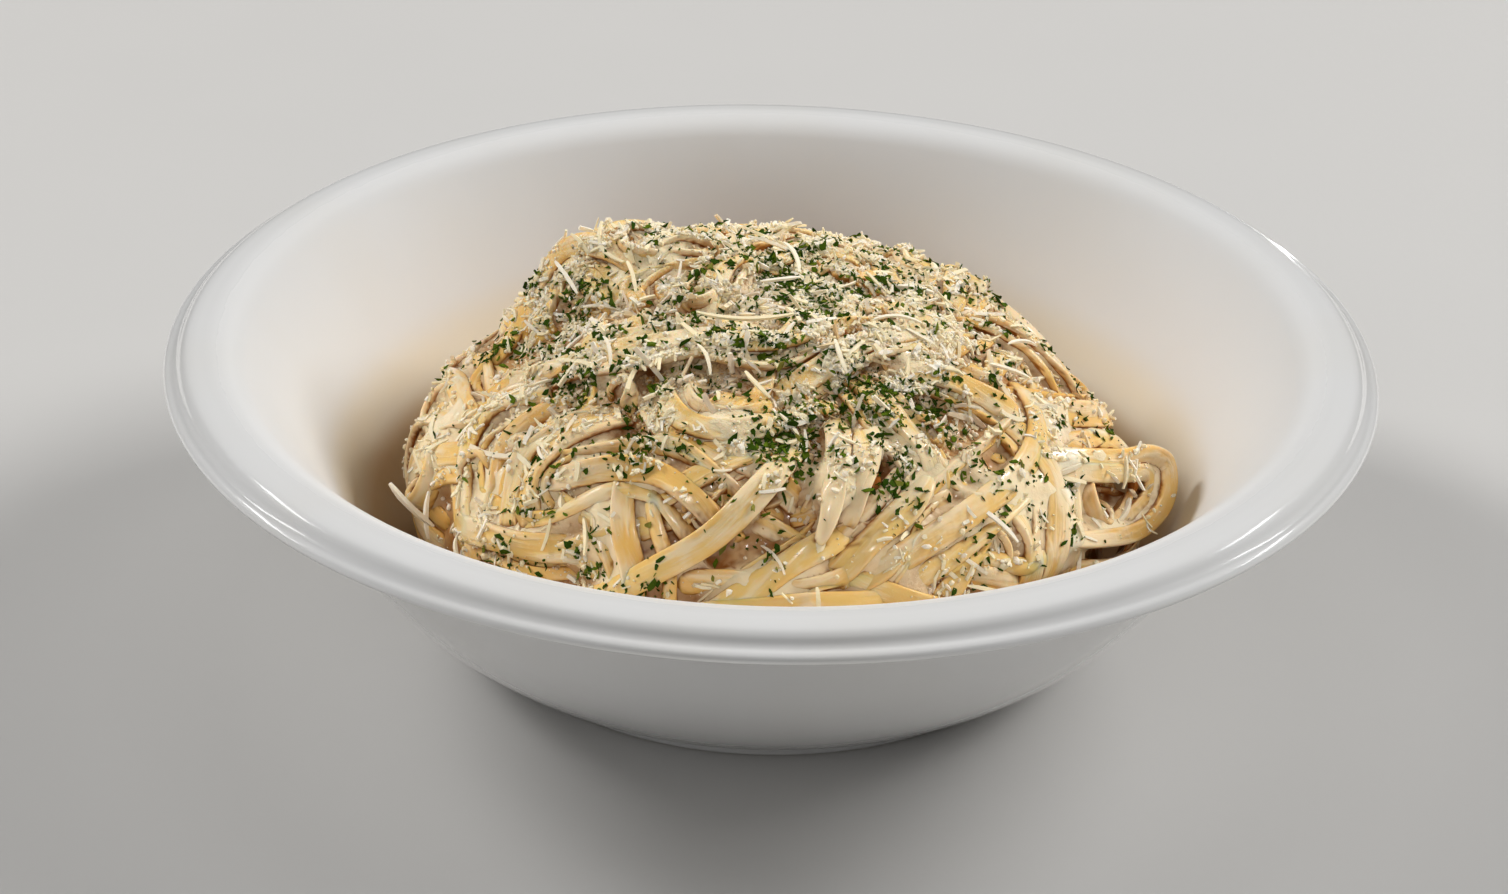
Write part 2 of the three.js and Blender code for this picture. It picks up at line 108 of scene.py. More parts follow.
# Noodles that show from the front: stops of azimuth, elevation and lift, with the lean of the broad side.
STRANDS = {
    "long_diagonal": ([
        (-122, 2, -2), (-115, 7, 0.5), (-107, 13, 2), (-99, 19, 3), (-91, 27, 2.5), (-85, 33, -0.5),
        (-80, 38, -4)
    ], 12),
    "behind_diagonal": ([(-114, 19, -1), (-105, 27, -0.5), (-96, 32, -0.5), (-87, 36, -1)], -10),
    "across_diagonal": ([(-108, 31, -1), (-99, 32, -0.3), (-90, 29, -0.3), (-83, 23, -1)], 15),
    "low_diagonal": ([(-100, 5, 0), (-92, 11, 0.5), (-84, 16, 0.5), (-76, 19, 0)], -8),
    "hanging_tip": ([(-72, 40, -1), (-75, 32, 2.5), (-78, 25, 4), (-81, 18, 4.5)], 30),
    "cut_flat": ([(-77, 20, 1), (-73, 26, 3.5), (-69, 32, 3.5), (-65, 38, -1)], -12),
    "front_base": ([(-106, 5, 0), (-95, 8, 0.5), (-84, 9, 0.5), (-70, 8, 0)], 14),
    "riser": ([(-79, 12, 0), (-71, 18, 0.5), (-63, 22, 1), (-55, 27, 0)], -18),
    "broad_right": ([
        (-73, 12, 0), (-62, 16, 1), (-50, 19, 2), (-36, 21, 1.5), (-24, 24, 1), (-12, 29, 0)
    ], 10),
    "ledge_loop": ([
        (-36, 25, 0), (-26, 19, 3), (-17, 14, 8), (-9, 10.5, 12), (-6, 7, 13.5), (-9, 3.5, 12.5),
        (-17, 2.5, 8.5), (-27, 5, 4), (-38, 9, 0)
    ], 40),
    "ledge_second": ([
        (-33, 21, 0), (-24, 15, 4), (-15, 10.5, 8), (-9, 7, 9), (-10, 4, 8), (-19, 4, 4), (-28, 7, 0)
    ], 30),
    "ledge_low": ([(-14, 13, 2), (-8, 6, 5), (-12, 1, 6), (-22, -1, 4), (-33, 2, 1)], -20),
    "drop_right": ([(-29, 28, 1), (-31, 18, 2), (-36, 10, 1.5), (-40, 2, 0)], 8),
    "drop_beside": ([(-45, 25, 0), (-43, 17, 1), (-42, 10, 0.5), (-44, 3, 0)], -12),
    "left_loop_outer": ([(-158, 21, 0), (-170, 15, 1), (-179, 8, 2), (-178, 1, 2), (-168, -6, 0)], 25),
    "left_loop_inner": ([(-150, 18, 1), (-160, 13, 2), (-168, 6, 2), (-167, 0, 1), (-156, -2, 0)], -20),
    "left_vertical": ([(-152, 31, 0), (-157, 24, 2), (-155, 17, 2), (-148, 11, 1), (-143, 3, 0)], 10),
    "left_middle": ([(-138, 32, 0), (-141, 23, 1.5), (-138, 16, 1.5), (-135, 8, 0)], -14),
    "left_inner": ([(-127, 35, 0), (-134, 28, 1.5), (-135, 20, 2), (-131, 11, 0)], 16),
    "left_low": ([(-152, 5, 0), (-142, 8, 1), (-132, 10, 1), (-122, 12, 0)], 10),
    "front_drop": ([(-120, 28, 0), (-115, 18, 1.5), (-111, 11, 1), (-110, 2, 0)], -10),
    "sweep": ([
        (-143, 14, 0), (-131, 21, 1.5), (-121, 26, 2), (-111, 27, 1.5), (-102, 23, 0.5), (-95, 17, 0)
    ], 8),
    "crown_left": ([(178, 28, 0), (168, 37, 2), (162, 45, 3.2), (165, 53, 2.5), (174, 60, 0)], 24),
    "crown_back": ([(172, 56, 0), (158, 62, 2.5), (146, 67, 2.5), (118, 71, 0)], -20),
    "upper_sweep": ([(-160, 36, 0), (-149, 43, 2), (-137, 50, 2.8), (-120, 58, 2.8), (-92, 63, 0)], 12),
    "hump": ([(-134, 66, 0), (-152, 74, 2), (-196, 80, 2.5), (-260, 77, 0)], 10),
    "bowl_arc": ([(-130, 60, 0), (-112, 59, 2), (-88, 59, 2.8), (-66, 63, 2), (-50, 70, 0)], -16),
    "ridge": ([(-90, 45, 0), (-72, 52, 2), (-51, 56, 2.5), (-28, 54, 2), (-4, 47, 1), (12, 38, 0)], 14),
    "right_bright": ([(20, 39, 0), (10, 32, 2), (4, 24, 2), (-2, 15, 0)], -22),
    "right_low": ([(-22, 27, 0), (-12, 21, 1), (1, 13, 2.5), (12, 6, 1)], 18),
    "centre_vertical": ([(-60, 49, 0), (-58, 38, 1.5), (-55, 29, 1), (-56, 21, 0)], -10),
    "centre_sweep": ([(-126, 45, 0), (-112, 38, 1.5), (-98, 37, 1.5), (-84, 41, 0)], 10),
    "right_vertical": ([(-44, 48, 0), (-36, 41, 1.5), (-30, 33, 1.5), (-24, 24, 0)], 16),
}
POINTED = {"hanging_tip"}
LEDGE = {"ledge_loop", "ledge_second", "ledge_low"}
# Noodles that no others run beside.
ALONE = {"hanging_tip", "cut_flat", "ledge_loop", "ledge_second", "long_diagonal"}

# Breadth of the noodles, as a share of the width set.
SHOWN_BREADTH, LEDGE_BREADTH, DRIP_BREADTH = 0.84, 0.62, 0.3
# Noodles laid by rule: how many, seed, breadth, and ranges of azimuth, elevation, turn, climb, lift and lean.
BACK_LAYER = dict(
    count=18, seed=7, breadth=0.84, azimuth=(30, 172), elevation=(3, 48),
    turn=(26, 48), climb=(-4, 20), lift=(0.5, 2.5), lean=(-35, 35),
)
UNDER_LAYER = dict(
    count=64, seed=41, breadth=0.75, azimuth=(-180, 180), elevation=(0, 68),
    turn=(22, 46), climb=(-22, 22), lift=(-3.2, -1.2), lean=(-30, 30),
)
FILL_LAYER = dict(
    count=44, seed=59, breadth=0.55, azimuth=(-180, 180), elevation=(2, 66),
    turn=(10, 30), climb=(-24, 24), lift=(-2.0, -0.2), lean=(-50, 50),
)
WANDER = (-4, 4)
# Noodles folded into rings that stand on edge: azimuth, elevation, radius, start, sweep, lift.
RINGS = [
    (-164, 7, 5.6, 200, 300, 1.8), (-149, 15, 4.2, 40, 230, 1.5), (-176, 14, 6.0, 90, 240, 1.2),
    (-30, 58, 5.0, 200, 240, 1.0), (-22, 9, 5.5, 60, 280, 1.4), (158, 60, 7.5, 180, 220, 1.6),
    (-150, 70, 6.0, 190, 220, 1.4), (-62, 60, 5.5, 10, 220, 0.8), (100, 40, 6.0, 120, 240, 1.2),
    (40, 30, 6.5, 30, 260, 1.2), (140, 20, 6.0, 210, 260, 1.2), (-52, 33, 4.5, 250, 200, 0.6),
    (-132, 38, 5.0, 330, 220, 0.8),
]
RING_STOPS, RING_LEAN, RING_BREADTH, RING_RISE = 7, 74, 0.8, 1.2
# Noodles beside others: millimetres away and lower, how far they stray, extra lean and breadth.
BESIDE_SEED = 23
BESIDE_AWAY, BESIDE_LOWER, BESIDE_STRAY = (3.4, 5.4), (0.8, 2.5), 1.0
BESIDE_LEAN, BESIDE_BREADTH = (10, 44), (0.42, 0.75)
GOLDEN_SHARE = 0.618
WORD = 0xFFFFFFFF
DRAW_STEP = 0x6D2B79F5
# Least cosine of elevation that degrees of azimuth are divided by.
LEAST_LEVEL = 0.3

# How far crevices are felt for, in millimetres, with how many rays, how they lean and from how far out.
OPEN_REACH = 12.0
OPEN_RAYS = 9
OPEN_LEAN = 1.05
OPEN_START = 0.7
# Distance in metres from the heap's centre from which its surface is aimed at.
AIM_FROM = 0.15

Noodle = namedtuple("Noodle", "stops lean pointed breadth")

# Where sauce pooled over the noodles: azimuth, elevation, spread in degrees, millimetres of lift.
POOLS = [
    (-16, 27, 2.4, 1.0), (-21, 22, 2.4, 1.4), (-26, 18, 2.3, 1.7), (-30, 14, 2.3, 1.7), (-33, 8, 2.3, 1.5),
    (-35, 4, 2.2, 1.2), (-128, 23, 5, 0.4), (-121, 19, 3, 0.5), (-77, 28, 6, 0.6), (-62, 29, 7, 0.6),
    (-45, 26, 5, 0.4), (-40, 13, 6, 0.4), (-96, 36, 7, 0.5), (-126, 47, 10, 0.4), (-47, 53, 8, 0.5),
    (-145, 69, 9, 0.4), (-100, 10, 5, 0.2), (-158, 33, 8, 0.4), (-168, 14, 6, 0.3), (70, 50, 14, 0.5),
    (120, 30, 14, 0.5), (30, 20, 12, 0.5), (165, 18, 9, 0.4),
]
# Strings of thick sauce that hang over the noodles.
DRIPS = [
    [(-12, 26, 0.5), (-17, 25, 1.5), (-22, 21, 2), (-27, 17, 2), (-30, 14, 2), (-32, 9, 1.8), (-35, 4, 0.5)],
    [(-20, 24, 0.5), (-27, 21, 1.5), (-34, 17, 1.5), (-38, 12, 1), (-41, 8, 0)],
    [(-124, 26, 0.5), (-121, 21, 1.5), (-119, 16, 1.5), (-118, 11, 0)],
]
# Where parsley fell thickest: azimuth, elevation, spread in degrees, flakes.
PARSLEY_DRIFTS = [
    (72, 85, 7, 150), (-84, 36, 6, 150), (-62, 43, 6, 130), (-46, 37, 5, 60), (16, 66, 6, 60),
    (178, 45, 4, 50), (-180, 27, 3, 40), (-171, 35, 5, 40), (-65, 26, 4, 50), (-147, 36, 5, 60),
    (-88, 57, 6, 60), (-112, 60, 6, 40), (33, 26, 5, 36), (-40, 73, 6, 70), (-120, 31, 5, 36),
    (-150, 63, 7, 40), (15, 17, 5, 24), (-132, 17, 3.5, 20), (-119, 12, 4, 26), (-135, 7, 4, 18),
    (-108, 10, 3, 14), (-89, 16, 3, 8), (-54, 12, 3.5, 16), (-47, 17, 3, 10),
]
# Long shreds of cheese that lie apart: both ends as azimuth, elevation and lift, then bow and width.
LONG_SHREDS = [
    ((-156, 10, 14), (-153, 4, 1.2), 0.4, 1.6), ((-155, 9, 4), (-153, 2, 2), 0.3, 1.2),
    ((-145, 6, 2), (-142, 3, 2), 0.0, 1.0), ((-129, 63, 3.5), (-78, 67, 3.5), -3.2, 0.95),
    ((-108, 80, 2.4), (-46, 81, 2.4), -1.2, 0.85), ((169, 44, 4), (-176, 47, 3), 0.3, 0.95),
    ((176, 58, 3), (-164, 58, 3), 0.4, 0.95), ((81, 76, 2), (-30, 83, 2), 0.8, 0.95),
    ((-64, 58, 3), (-66, 49, 2.5), -0.5, 0.95), ((-82, 12, 1.2), (-82, 8, 1.2), 0.1, 0.95),
    ((-150, 47, 3), (-138, 43, 3), 0.9, 0.85), ((-98, 50, 3), (-90, 44, 3), -0.6, 0.95),
    ((-40, 60, 3), (-24, 53, 3), 1.0, 0.85), ((-22, 38, 3), (-16, 31, 3), -0.6, 0.95),
    ((-52, 20, 1.2), (-46, 12, 1.2), 0.4, 1.0), ((-58, 9, 2), (-50, 5, 2), 0.3, 0.95),
    ((-118, 55, 3), (-108, 48, 3), 0.8, 0.85), ((-6, 36, 3), (2, 30, 3), 0.5, 0.95),
]
# Cheese that landed low on the front: azimuth, elevation, spread in degrees, share.
CHEESE_DRIFTS = [
    (-136, 12, 11, 0.45), (-120, 8, 7, 0.3), (-66, 8, 8, 0.35), (-160, 14, 9, 0.3), (-176, 8, 8, 0.3),
    (-20, 14, 12, 0.25), (-143, 30, 10, 0.3), (-50, 8, 8, 0.25), (170, 14, 14, 0.3), (60, 14, 16, 0.3),
]


# ---- Settings ----


def length(name, description, default):
    return FloatProperty(name=name, description=description, default=default, unit="LENGTH", precision=4)


def tint(name, description, default):
    return FloatVectorProperty(
        name=name, description=description, default=default, subtype="COLOR", size=3, min=0.0, max=1.0
    )


def incline(name, description, degrees):
    return FloatProperty(name=name, description=description, default=math.radians(degrees), subtype="ANGLE")


def number(name, description, default):
    return IntProperty(name=name, description=description, default=default, min=1)


class BowlSettings(bpy.types.PropertyGroup):
    rim_radius: length("Rim radius", "Outer radius of the rim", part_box("bowl")[1].x)
    height: length("Height", "Height of the rim's crest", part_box("bowl")[1].z)
    crest_radius: length("Crest radius", "Radius of the highest ring of the rim", 138 * MM)
    arch_radius: length("Arch radius", "Radius of the rim's arched section", 14.5 * MM)
    lip_radius: length("Lip radius", "Rounding of the rim's outer edge", 1.6 * MM)
    wall_slope: incline("Wall slope", "Slope of the well's steep wall", 64)
    glaze: tint("Glaze", "Colour of the glazed porcelain", (0.765, 0.765, 0.762))


class NoodleSettings(bpy.types.PropertyGroup):
    width: length("Width", "Width of a cooked noodle", 8 * MM)
    thickness: length("Thickness", "Thickness of a cooked noodle", 2.0 * MM)
    step: length("Step", "Length between two rings of a noodle", 2.6 * MM)
    pale: tint("Pale", "Noodle under its film of sauce", (0.83, 0.57, 0.19))
    warm: tint("Warm", "Noodle where light soaks through it", (0.80, 0.43, 0.095))


class SauceSettings(bpy.types.PropertyGroup):
    grain: length("Grain", "Fineness of the sauce's mesh", 1.05 * MM)
    core_inset: length("Core inset", "Depth of the packed core under the heap's outline", 3.6 * MM)
    cream: tint("Cream", "Sauce where it lies thick", (0.90, 0.74, 0.48))
    # Painted shade colour of the sauce deep in the heap.
    shade: tint("Shade", "Sauce deep in the heap", (0.44, 0.20, 0.06))
    # Painted shade colour of noodles and sauce in the narrow gaps.
    crevice_shade: tint("Crevice", "Noodles and sauce in the narrow gaps", (0.28, 0.085, 0.008))


class ToppingSettings(bpy.types.PropertyGroup):
    shreds: number("Shreds", "Number of cheese shreds", 700)
    curls: number("Curls", "Number of long curved shreds", 16)
    slivers: number("Slivers", "Number of short cheese slivers", 5400)
    crumbs: number("Crumbs", "Number of cheese crumbs", 8500)
    grains: number("Grains", "Number of fine cheese grains", 12000)
    flakes: number("Flakes", "Loose parsley flakes outside the drifts", 3000)
    cheese: tint("Cheese", "Grated cheese", (0.96, 0.84, 0.57))
    leaf: tint("Leaf", "Dark side of the parsley", (0.026, 0.060, 0.003))
    leaf_light: tint("Light leaf", "Light side of the parsley", (0.13, 0.19, 0.010))


class StageSettings(bpy.types.PropertyGroup):
    floor: tint("Floor", "Plain pale floor", (0.60, 0.59, 0.575))
    distance: length("Camera distance", "From the camera to the foot of the bowl", 0.8245)
    elevation: incline("Camera elevation", "Height of the camera over the horizon", 31)


# ---- Shapes of the heap and the well ----


def direction(azimuth, elevation):
    a, e = np.radians(azimuth), np.radians(elevation)
    return np.stack([np.cos(e) * np.cos(a), np.cos(e) * np.sin(a), np.sin(e)], -1)


def angles(points):
    """Azimuth, elevation and distance of points as seen from the heap's centre."""
    away = points - HEAP_CENTRE
    reach = np.linalg.norm(away, axis=-1)
    azimuth = np.degrees(np.arctan2(away[..., 1], away[..., 0]))
    return azimuth, np.degrees(np.arcsin(np.clip(away[..., 2] / reach, -1, 1))), reach


def raised(heights, azimuth, elevation, swellings):
    """Heights with round swellings added: azimuth, elevation, spread and height of each."""
    towards = direction(azimuth, elevation)
    for a, e, spread, height in swellings:
        away = np.degrees(np.arccos(np.clip(towards @ direction(a, e), -1, 1)))
        heights = heights + height * np.exp(-((away / spread) ** 2))
    return heights


def heap_reach(azimuth, elevation):
    """Distance of the heap's outline from its centre."""
    azimuth, elevation = np.broadcast_arrays(np.asarray(azimuth, float), np.asarray(elevation, float))
    towards = direction(azimuth, elevation)
    level = np.maximum(np.hypot(towards[..., 0], towards[..., 1]), 1e-6)
    power = HEAP_SQUARENESS
    upper = ((level / HEAP_RADIUS) ** power + (np.abs(towards[..., 2]) / HEAP_RISE) ** power) ** (-1 / power)
    return np.where(elevation < 0, HEAP_RADIUS / level, raised(upper, azimuth, elevation, SWELLINGS))


def heap_point(azimuth, elevation, lift):
    reach = heap_reach(azimuth, elevation) + lift
    return HEAP_CENTRE + direction(azimuth, elevation) * reach[..., None]


def unit(vectors):
    return vectors / np.maximum(np.linalg.norm(vectors, axis=-1, keepdims=True), 1e-9)


def heap_normal(azimuth, elevation):
    along = heap_point(azimuth + SLOPE_STEP, elevation, 0) - heap_point(azimuth - SLOPE_STEP, elevation, 0)
    up = heap_point(azimuth, elevation + SLOPE_STEP, 0) - heap_point(azimuth, elevation - SLOPE_STEP, 0)
    normal = unit(np.cross(along, up))
    outward = np.sum(normal * direction(azimuth, elevation), -1, keepdims=True)
    return normal * np.where(outward < 0, -1, 1)


def bezier(points, steps):
    """Points on a curve with one or two control points between its ends."""
    share = np.linspace(0, 1, steps + 1)[:, None]
    points = np.repeat(np.array(points, float)[:, None], steps + 1, axis=1)
    while len(points) > 1:
        points = points[:-1] * (1 - share) + points[1:] * share
    return points[0]


def arc(centre, radius, start, end, steps):
    angle = np.radians(np.linspace(start, end, steps + 1))
    return np.stack([centre[0] + radius * np.cos(angle), centre[1] + radius * np.sin(angle)], -1)


def well_section(bowl):
    """The well from the end of its shoulder to the middle of its floor, in millimetres."""
    arch = bowl.arch_radius / MM
    shoulder = math.radians(SHOULDER_SLOPE)
    foot_r, foot_z = WALL_FOOT
    top_r = bowl.crest_radius / MM - arch * math.sin(shoulder)
    top_z = bowl.height / MM - arch * (1 - math.cos(shoulder))
    steep, gentle = math.tan(bowl.wall_slope), math.tan(shoulder)
    run = ((top_r - foot_r) * steep - (top_z - foot_z)) / (steep - gentle)
    knee = (top_r - run, top_z - run * gentle)
    bend = (foot_r - WALL_BEND * math.cos(bowl.wall_slope), foot_z - WALL_BEND * math.sin(bowl.wall_slope))
    level = (foot_r - FLOOR_BEND, FLOOR_EDGE_Z + FLOOR_DISH)
    edge = (FLOOR_RADIUS, FLOOR_EDGE_Z)
    return np.vstack([
        bezier([(top_r, top_z), knee, WALL_FOOT], WALL_CUTS)[:-1],
        bezier([WALL_FOOT, bend, level, edge], BOTTOM_CUTS),
        np.linspace(edge, (0, FLOOR_Z), FLOOR_CUTS)[1:],
    ])


def keep_in_well(points, bowl):
    """Points in millimetres pressed back inside the well, with the heap's clearance."""
    section = np.vstack([well_section(bowl)[::-1], (bowl.crest_radius / MM, bowl.height / MM)])
    points = points.copy()
    points[:, 2] = np.maximum(points[:, 2], FLOOR_Z + WELL_GAP)
    radius = np.hypot(points[:, 0], points[:, 1])
    limit = np.interp(points[:, 2] - WELL_GAP, section[:, 1], section[:, 0]) - WELL_GAP
    inside = np.minimum(1, limit / np.maximum(radius, 1e-6))
    points[:, :2] *= inside[:, None]
    return points


def random_from(seed):
    """The same repeatable numbers between 0 and 1 as the heap's solid is laid with."""
    state = seed

    def draw():
        nonlocal state
        state = (state + DRAW_STEP) & WORD
        t = ((state ^ (state >> 15)) * (1 | state)) & WORD
        t = ((t + ((t ^ (t >> 7)) * (61 | t) & WORD)) & WORD) ^ t
        return ((t ^ (t >> 14)) & WORD) / (WORD + 1)

    return draw


def between(limits, share):
    return limits[0] + (limits[1] - limits[0]) * share


def ramp(values, start, end):
    """0 up to the start, 1 from the end on, and even between them."""
    return np.clip((values - start) / (end - start), 0, 1)


def laid_by_rule(layer):
    """Noodles that wander up or down the heap from evenly turned starts."""
    draw = random_from(layer["seed"])
    noodles = []
    for i in range(layer["count"]):
        start = between(layer["azimuth"], (i * GOLDEN_SHARE) % 1)
        low = between(layer["elevation"], (i + 0.5) / layer["count"])
        turn = between(layer["turn"], draw()) * (1 if i % 2 else -1)
        climb = between(layer["climb"], draw())
        stops = []
        for share in (0, 1 / 3, 2 / 3, 1):
            elevation = low + climb * share + between(WANDER, draw())
            lift = between(layer["lift"], draw())
            stops.append((start + turn * share, elevation, lift * math.sin(math.pi * share)))
        noodles.append(Noodle(stops, between(layer["lean"], draw()), False, layer["breadth"]))
    return noodles


def running_beside(noodles, draws):
    """Narrower noodles that run along both sides of each noodle, a little lower, and stray from it."""
    beside = []
    for noodle in noodles:
        stops = np.array(noodle.stops, float)
        level = np.cos(np.radians(stops[:, 1]))
        ahead = np.gradient(stops[:, 0]) * level, np.gradient(stops[:, 1])
        run = np.hypot(*ahead)
        for side in (-1, 1):
            away = between(BESIDE_AWAY, draws.random())
            away = side * (away + draws.normal(scale=BESIDE_STRAY, size=len(stops)))
            moved = stops.copy()
            moved[:, 0] -= away * ahead[1] / run / np.maximum(level, LEAST_LEVEL)
            moved[:, 1] += away * ahead[0] / run
            moved[:, 2] -= between(BESIDE_LOWER, draws.random(len(stops)))
            lean = noodle.lean + side * between(BESIDE_LEAN, draws.random())
            beside.append(Noodle(moved.tolist(), lean, False, between(BESIDE_BREADTH, draws.random())))
    return beside


def ring_noodle(azimuth, elevation, radius, start, sweep, lift):
    """A noodle folded round into a ring, standing on its edge."""
    degree = math.degrees(1 / HEAP_RADIUS)
    level = max(LEAST_LEVEL, math.cos(math.radians(elevation)))
    stops = []
    for angle in np.radians(np.linspace(start, start + sweep, RING_STOPS)):
        aside = radius * math.cos(angle) * degree / level
        rise = radius * RING_RISE * math.sin(angle) * degree
        stops.append((azimuth + aside, elevation + rise, lift))
    return Noodle(stops, RING_LEAN, False, RING_BREADTH)


def route_at(stops, shares):
    """A smooth route through the stops, with its knots spaced by the root of their distance."""
    stops = np.array(stops, float)
    knots = np.vstack([2 * stops[0] - stops[1], stops, 2 * stops[-1] - stops[-2]])
    gaps = np.sqrt(np.linalg.norm(np.diff(knots, axis=0), axis=1))[:, None]
    place = np.clip(np.asarray(shares), 0, 1) * (len(stops) - 1)
    index = np.minimum(place.astype(int), len(stops) - 2)
    weight = (place - index)[:, None]
    a, b, c, d = (knots[index + k] for k in range(4))
    first, middle, last = (gaps[index + k] for k in range(3))
    leaving = ((b - a) / first - (c - a) / (first + middle) + (c - b) / middle) * middle
    arriving = ((c - b) / middle - (d - b) / (middle + last) + (d - c) / last) * middle
    cubic = 2 * (b - c) + leaving + arriving
    square = 3 * (c - b) - 2 * leaving - arriving
    return b + leaving * weight + square * weight**2 + cubic * weight**3


def noodle_places(stops, shares):
    """Stops and points in millimetres along a noodle, whose ends dive into the heap."""
    route = route_at(stops, shares)
    dive = NOODLE_DIVE * np.abs(2 * np.clip(shares, 0, 1) - 1) ** 5
    return route, heap_point(route[:, 0], route[:, 1], route[:, 2] - NOODLE_SINK - dive)


# ---- Working with Blender's tools ----


def deselect():
    for thing in bpy.context.selected_objects:
        thing.select_set(False)


def activate(thing):
    deselect()
    thing.select_set(True)
    bpy.context.view_layer.objects.active = thing


def finish_with(thing, kind, **settings):
    """Adds a modifier and applies it."""
    activate(thing)
    modifier = thing.modifiers.new(kind.title(), kind)
    for name, value in settings.items():
        setattr(modifier, name, value)
    bpy.ops.object.modifier_apply(modifier=modifier.name)


def joined(things, name):
    activate(things[0])
    for thing in things:
        thing.select_set(True)
    bpy.ops.object.join()
    things[0].name = name
    things[0].data.name = name
    return things[0]


def copy_of(thing):
    copy = thing.copy()
    copy.data = thing.data.copy()
    bpy.context.collection.objects.link(copy)
    return copy


def vectors(items, name):
    """A row of three numbers for each item."""
    flat = np.empty(len(items) * 3, np.float32)
    items.foreach_get(name, flat)
    return flat.reshape(-1, 3).astype(float)


def coordinates(mesh):
    return vectors(mesh.vertices, "co")


def slopes(mesh):
    return vectors(mesh.vertex_normals, "vector")


def move_to(mesh, points):
    mesh.vertices.foreach_set("co", np.asarray(points, np.float32).ravel())
    mesh.update()


def store(mesh, name, values):
    """Keeps a number or a point for each vertex, for the material to read."""
    values = np.asarray(values, np.float32)
    kind, field = ("FLOAT", "value") if values.ndim == 1 else ("FLOAT_VECTOR", "vector")
    attribute = mesh.attributes.get(name) or mesh.attributes.new(name, kind, "POINT")
    attribute.data.foreach_set(field, values.ravel())


def smooth(thing):
    thing.data.polygons.foreach_set("use_smooth", [True] * len(thing.data.polygons))
    thing.data.update()


def finished(thing, finish, slot, *nodes):
    thing.data.materials.clear()
    thing.data.materials.append(finish)
    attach(thing, "root")
    if nodes:
        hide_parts(*nodes)


class Ground:
    """Several pieces as one surface to aim at."""

    def __init__(self, names):
        corners, faces, start = [], [], 0
        for name in names:
            mesh = bpy.data.objects[name].data
            mesh.calc_loop_triangles()
            triangles = np.empty(len(mesh.loop_triangles) * 3, np.int32)
            mesh.loop_triangles.foreach_get("vertices", triangles)
            corners.append(coordinates(mesh))
            faces.append(triangles.reshape(-1, 3) + start)
            start += len(mesh.vertices)
        self.tree = BVHTree.FromPolygons(np.vstack(corners).tolist(), np.vstack(faces).tolist())

    def meet(self, azimuth, elevation):
        """Points and slopes met from outside, with the directions that met nothing left out."""
        centre = Vector(HEAP_CENTRE * MM)
        points, normals = [], []
        for towards in direction(azimuth, elevation):
            towards = Vector(towards)
            hit, normal, _, _ = self.tree.ray_cast(centre + towards * AIM_FROM, -towards)
            if hit is not None:
                points.append(hit)
                normals.append(normal if normal.dot(towards) > 0 else -normal)
        return np.array(points), np.array(normals)

    def openness(self, points, normals):
        """How freely each point sees its surroundings, from 0 deep in a narrow gap to 1 in the open."""
        draws = np.random.default_rng(len(points))
        seen = np.zeros(len(points))
        cast, reach = self.tree.ray_cast, OPEN_REACH * MM
        for _ in range(OPEN_RAYS):
            rays = unit(normals * OPEN_LEAN + unit(draws.normal(size=normals.shape)))
            starts = points + normals * OPEN_START * MM
            for index, (start, ray) in enumerate(zip(starts.tolist(), rays.tolist())):
                if cast(start, ray, reach)[0] is None:
                    seen[index] += 1
        return seen / OPEN_RAYS


# ---- Finishes ----

GLAZE_WARMTH = (0.99, 0.982, 0.965)
BARE_CLAY = (0.66, 0.62, 0.55)
# Sauce smear in the well tinted with painted warm bounce from the noodles, and the same darkened by painted
# contact shadow next to the food.
SMEAR_AND_BOUNCE = (0.79, 0.69, 0.51)
SMEAR_AND_CONTACT_SHADOW = (0.58, 0.38, 0.17)
MILK = (0.90, 0.77, 0.55)
CHEESE_DUST = (0.96, 0.84, 0.58)
TOASTED = (0.82, 0.56, 0.26)
POOLED_CREAM = (0.94, 0.85, 0.67)
CHEESE_PALENESS = (1.0, 1.06, 1.33)
CHEESE_RIND = (0.90, 0.76, 0.46)
# Painted warm shade of cheese lying in the gaps.
CHEESE_CREVICE_SHADE = (0.47, 0.23, 0.035)
YELLOWED_LEAF = (0.33, 0.27, 0.06)
FLOOR_SHADE = (0.94, 0.94, 0.94)
# Openness under which noodles and sauce are in full shade, and over which they are in full light.
SHADE_TO_LIGHT = (0.08, 0.90)


class Wire:
    """A socket that ordinary arithmetic can be done with: each operation adds a Math node."""

    def __init__(self, finish, socket):
        self.finish = finish
        self.socket = socket

    def __add__(self, other):
        return self.finish.math("ADD", self, other)

    def __sub__(self, other):
        return self.finish.math("SUBTRACT", self, other)

    def __mul__(self, other):
        return self.finish.math("MULTIPLY", self, other)

    def __rsub__(self, other):
        return self.finish.math("SUBTRACT", other, self)

    def __pow__(self, other):
        return self.finish.math("POWER", self, other)

    __radd__ = __add__
    __rmul__ = __mul__


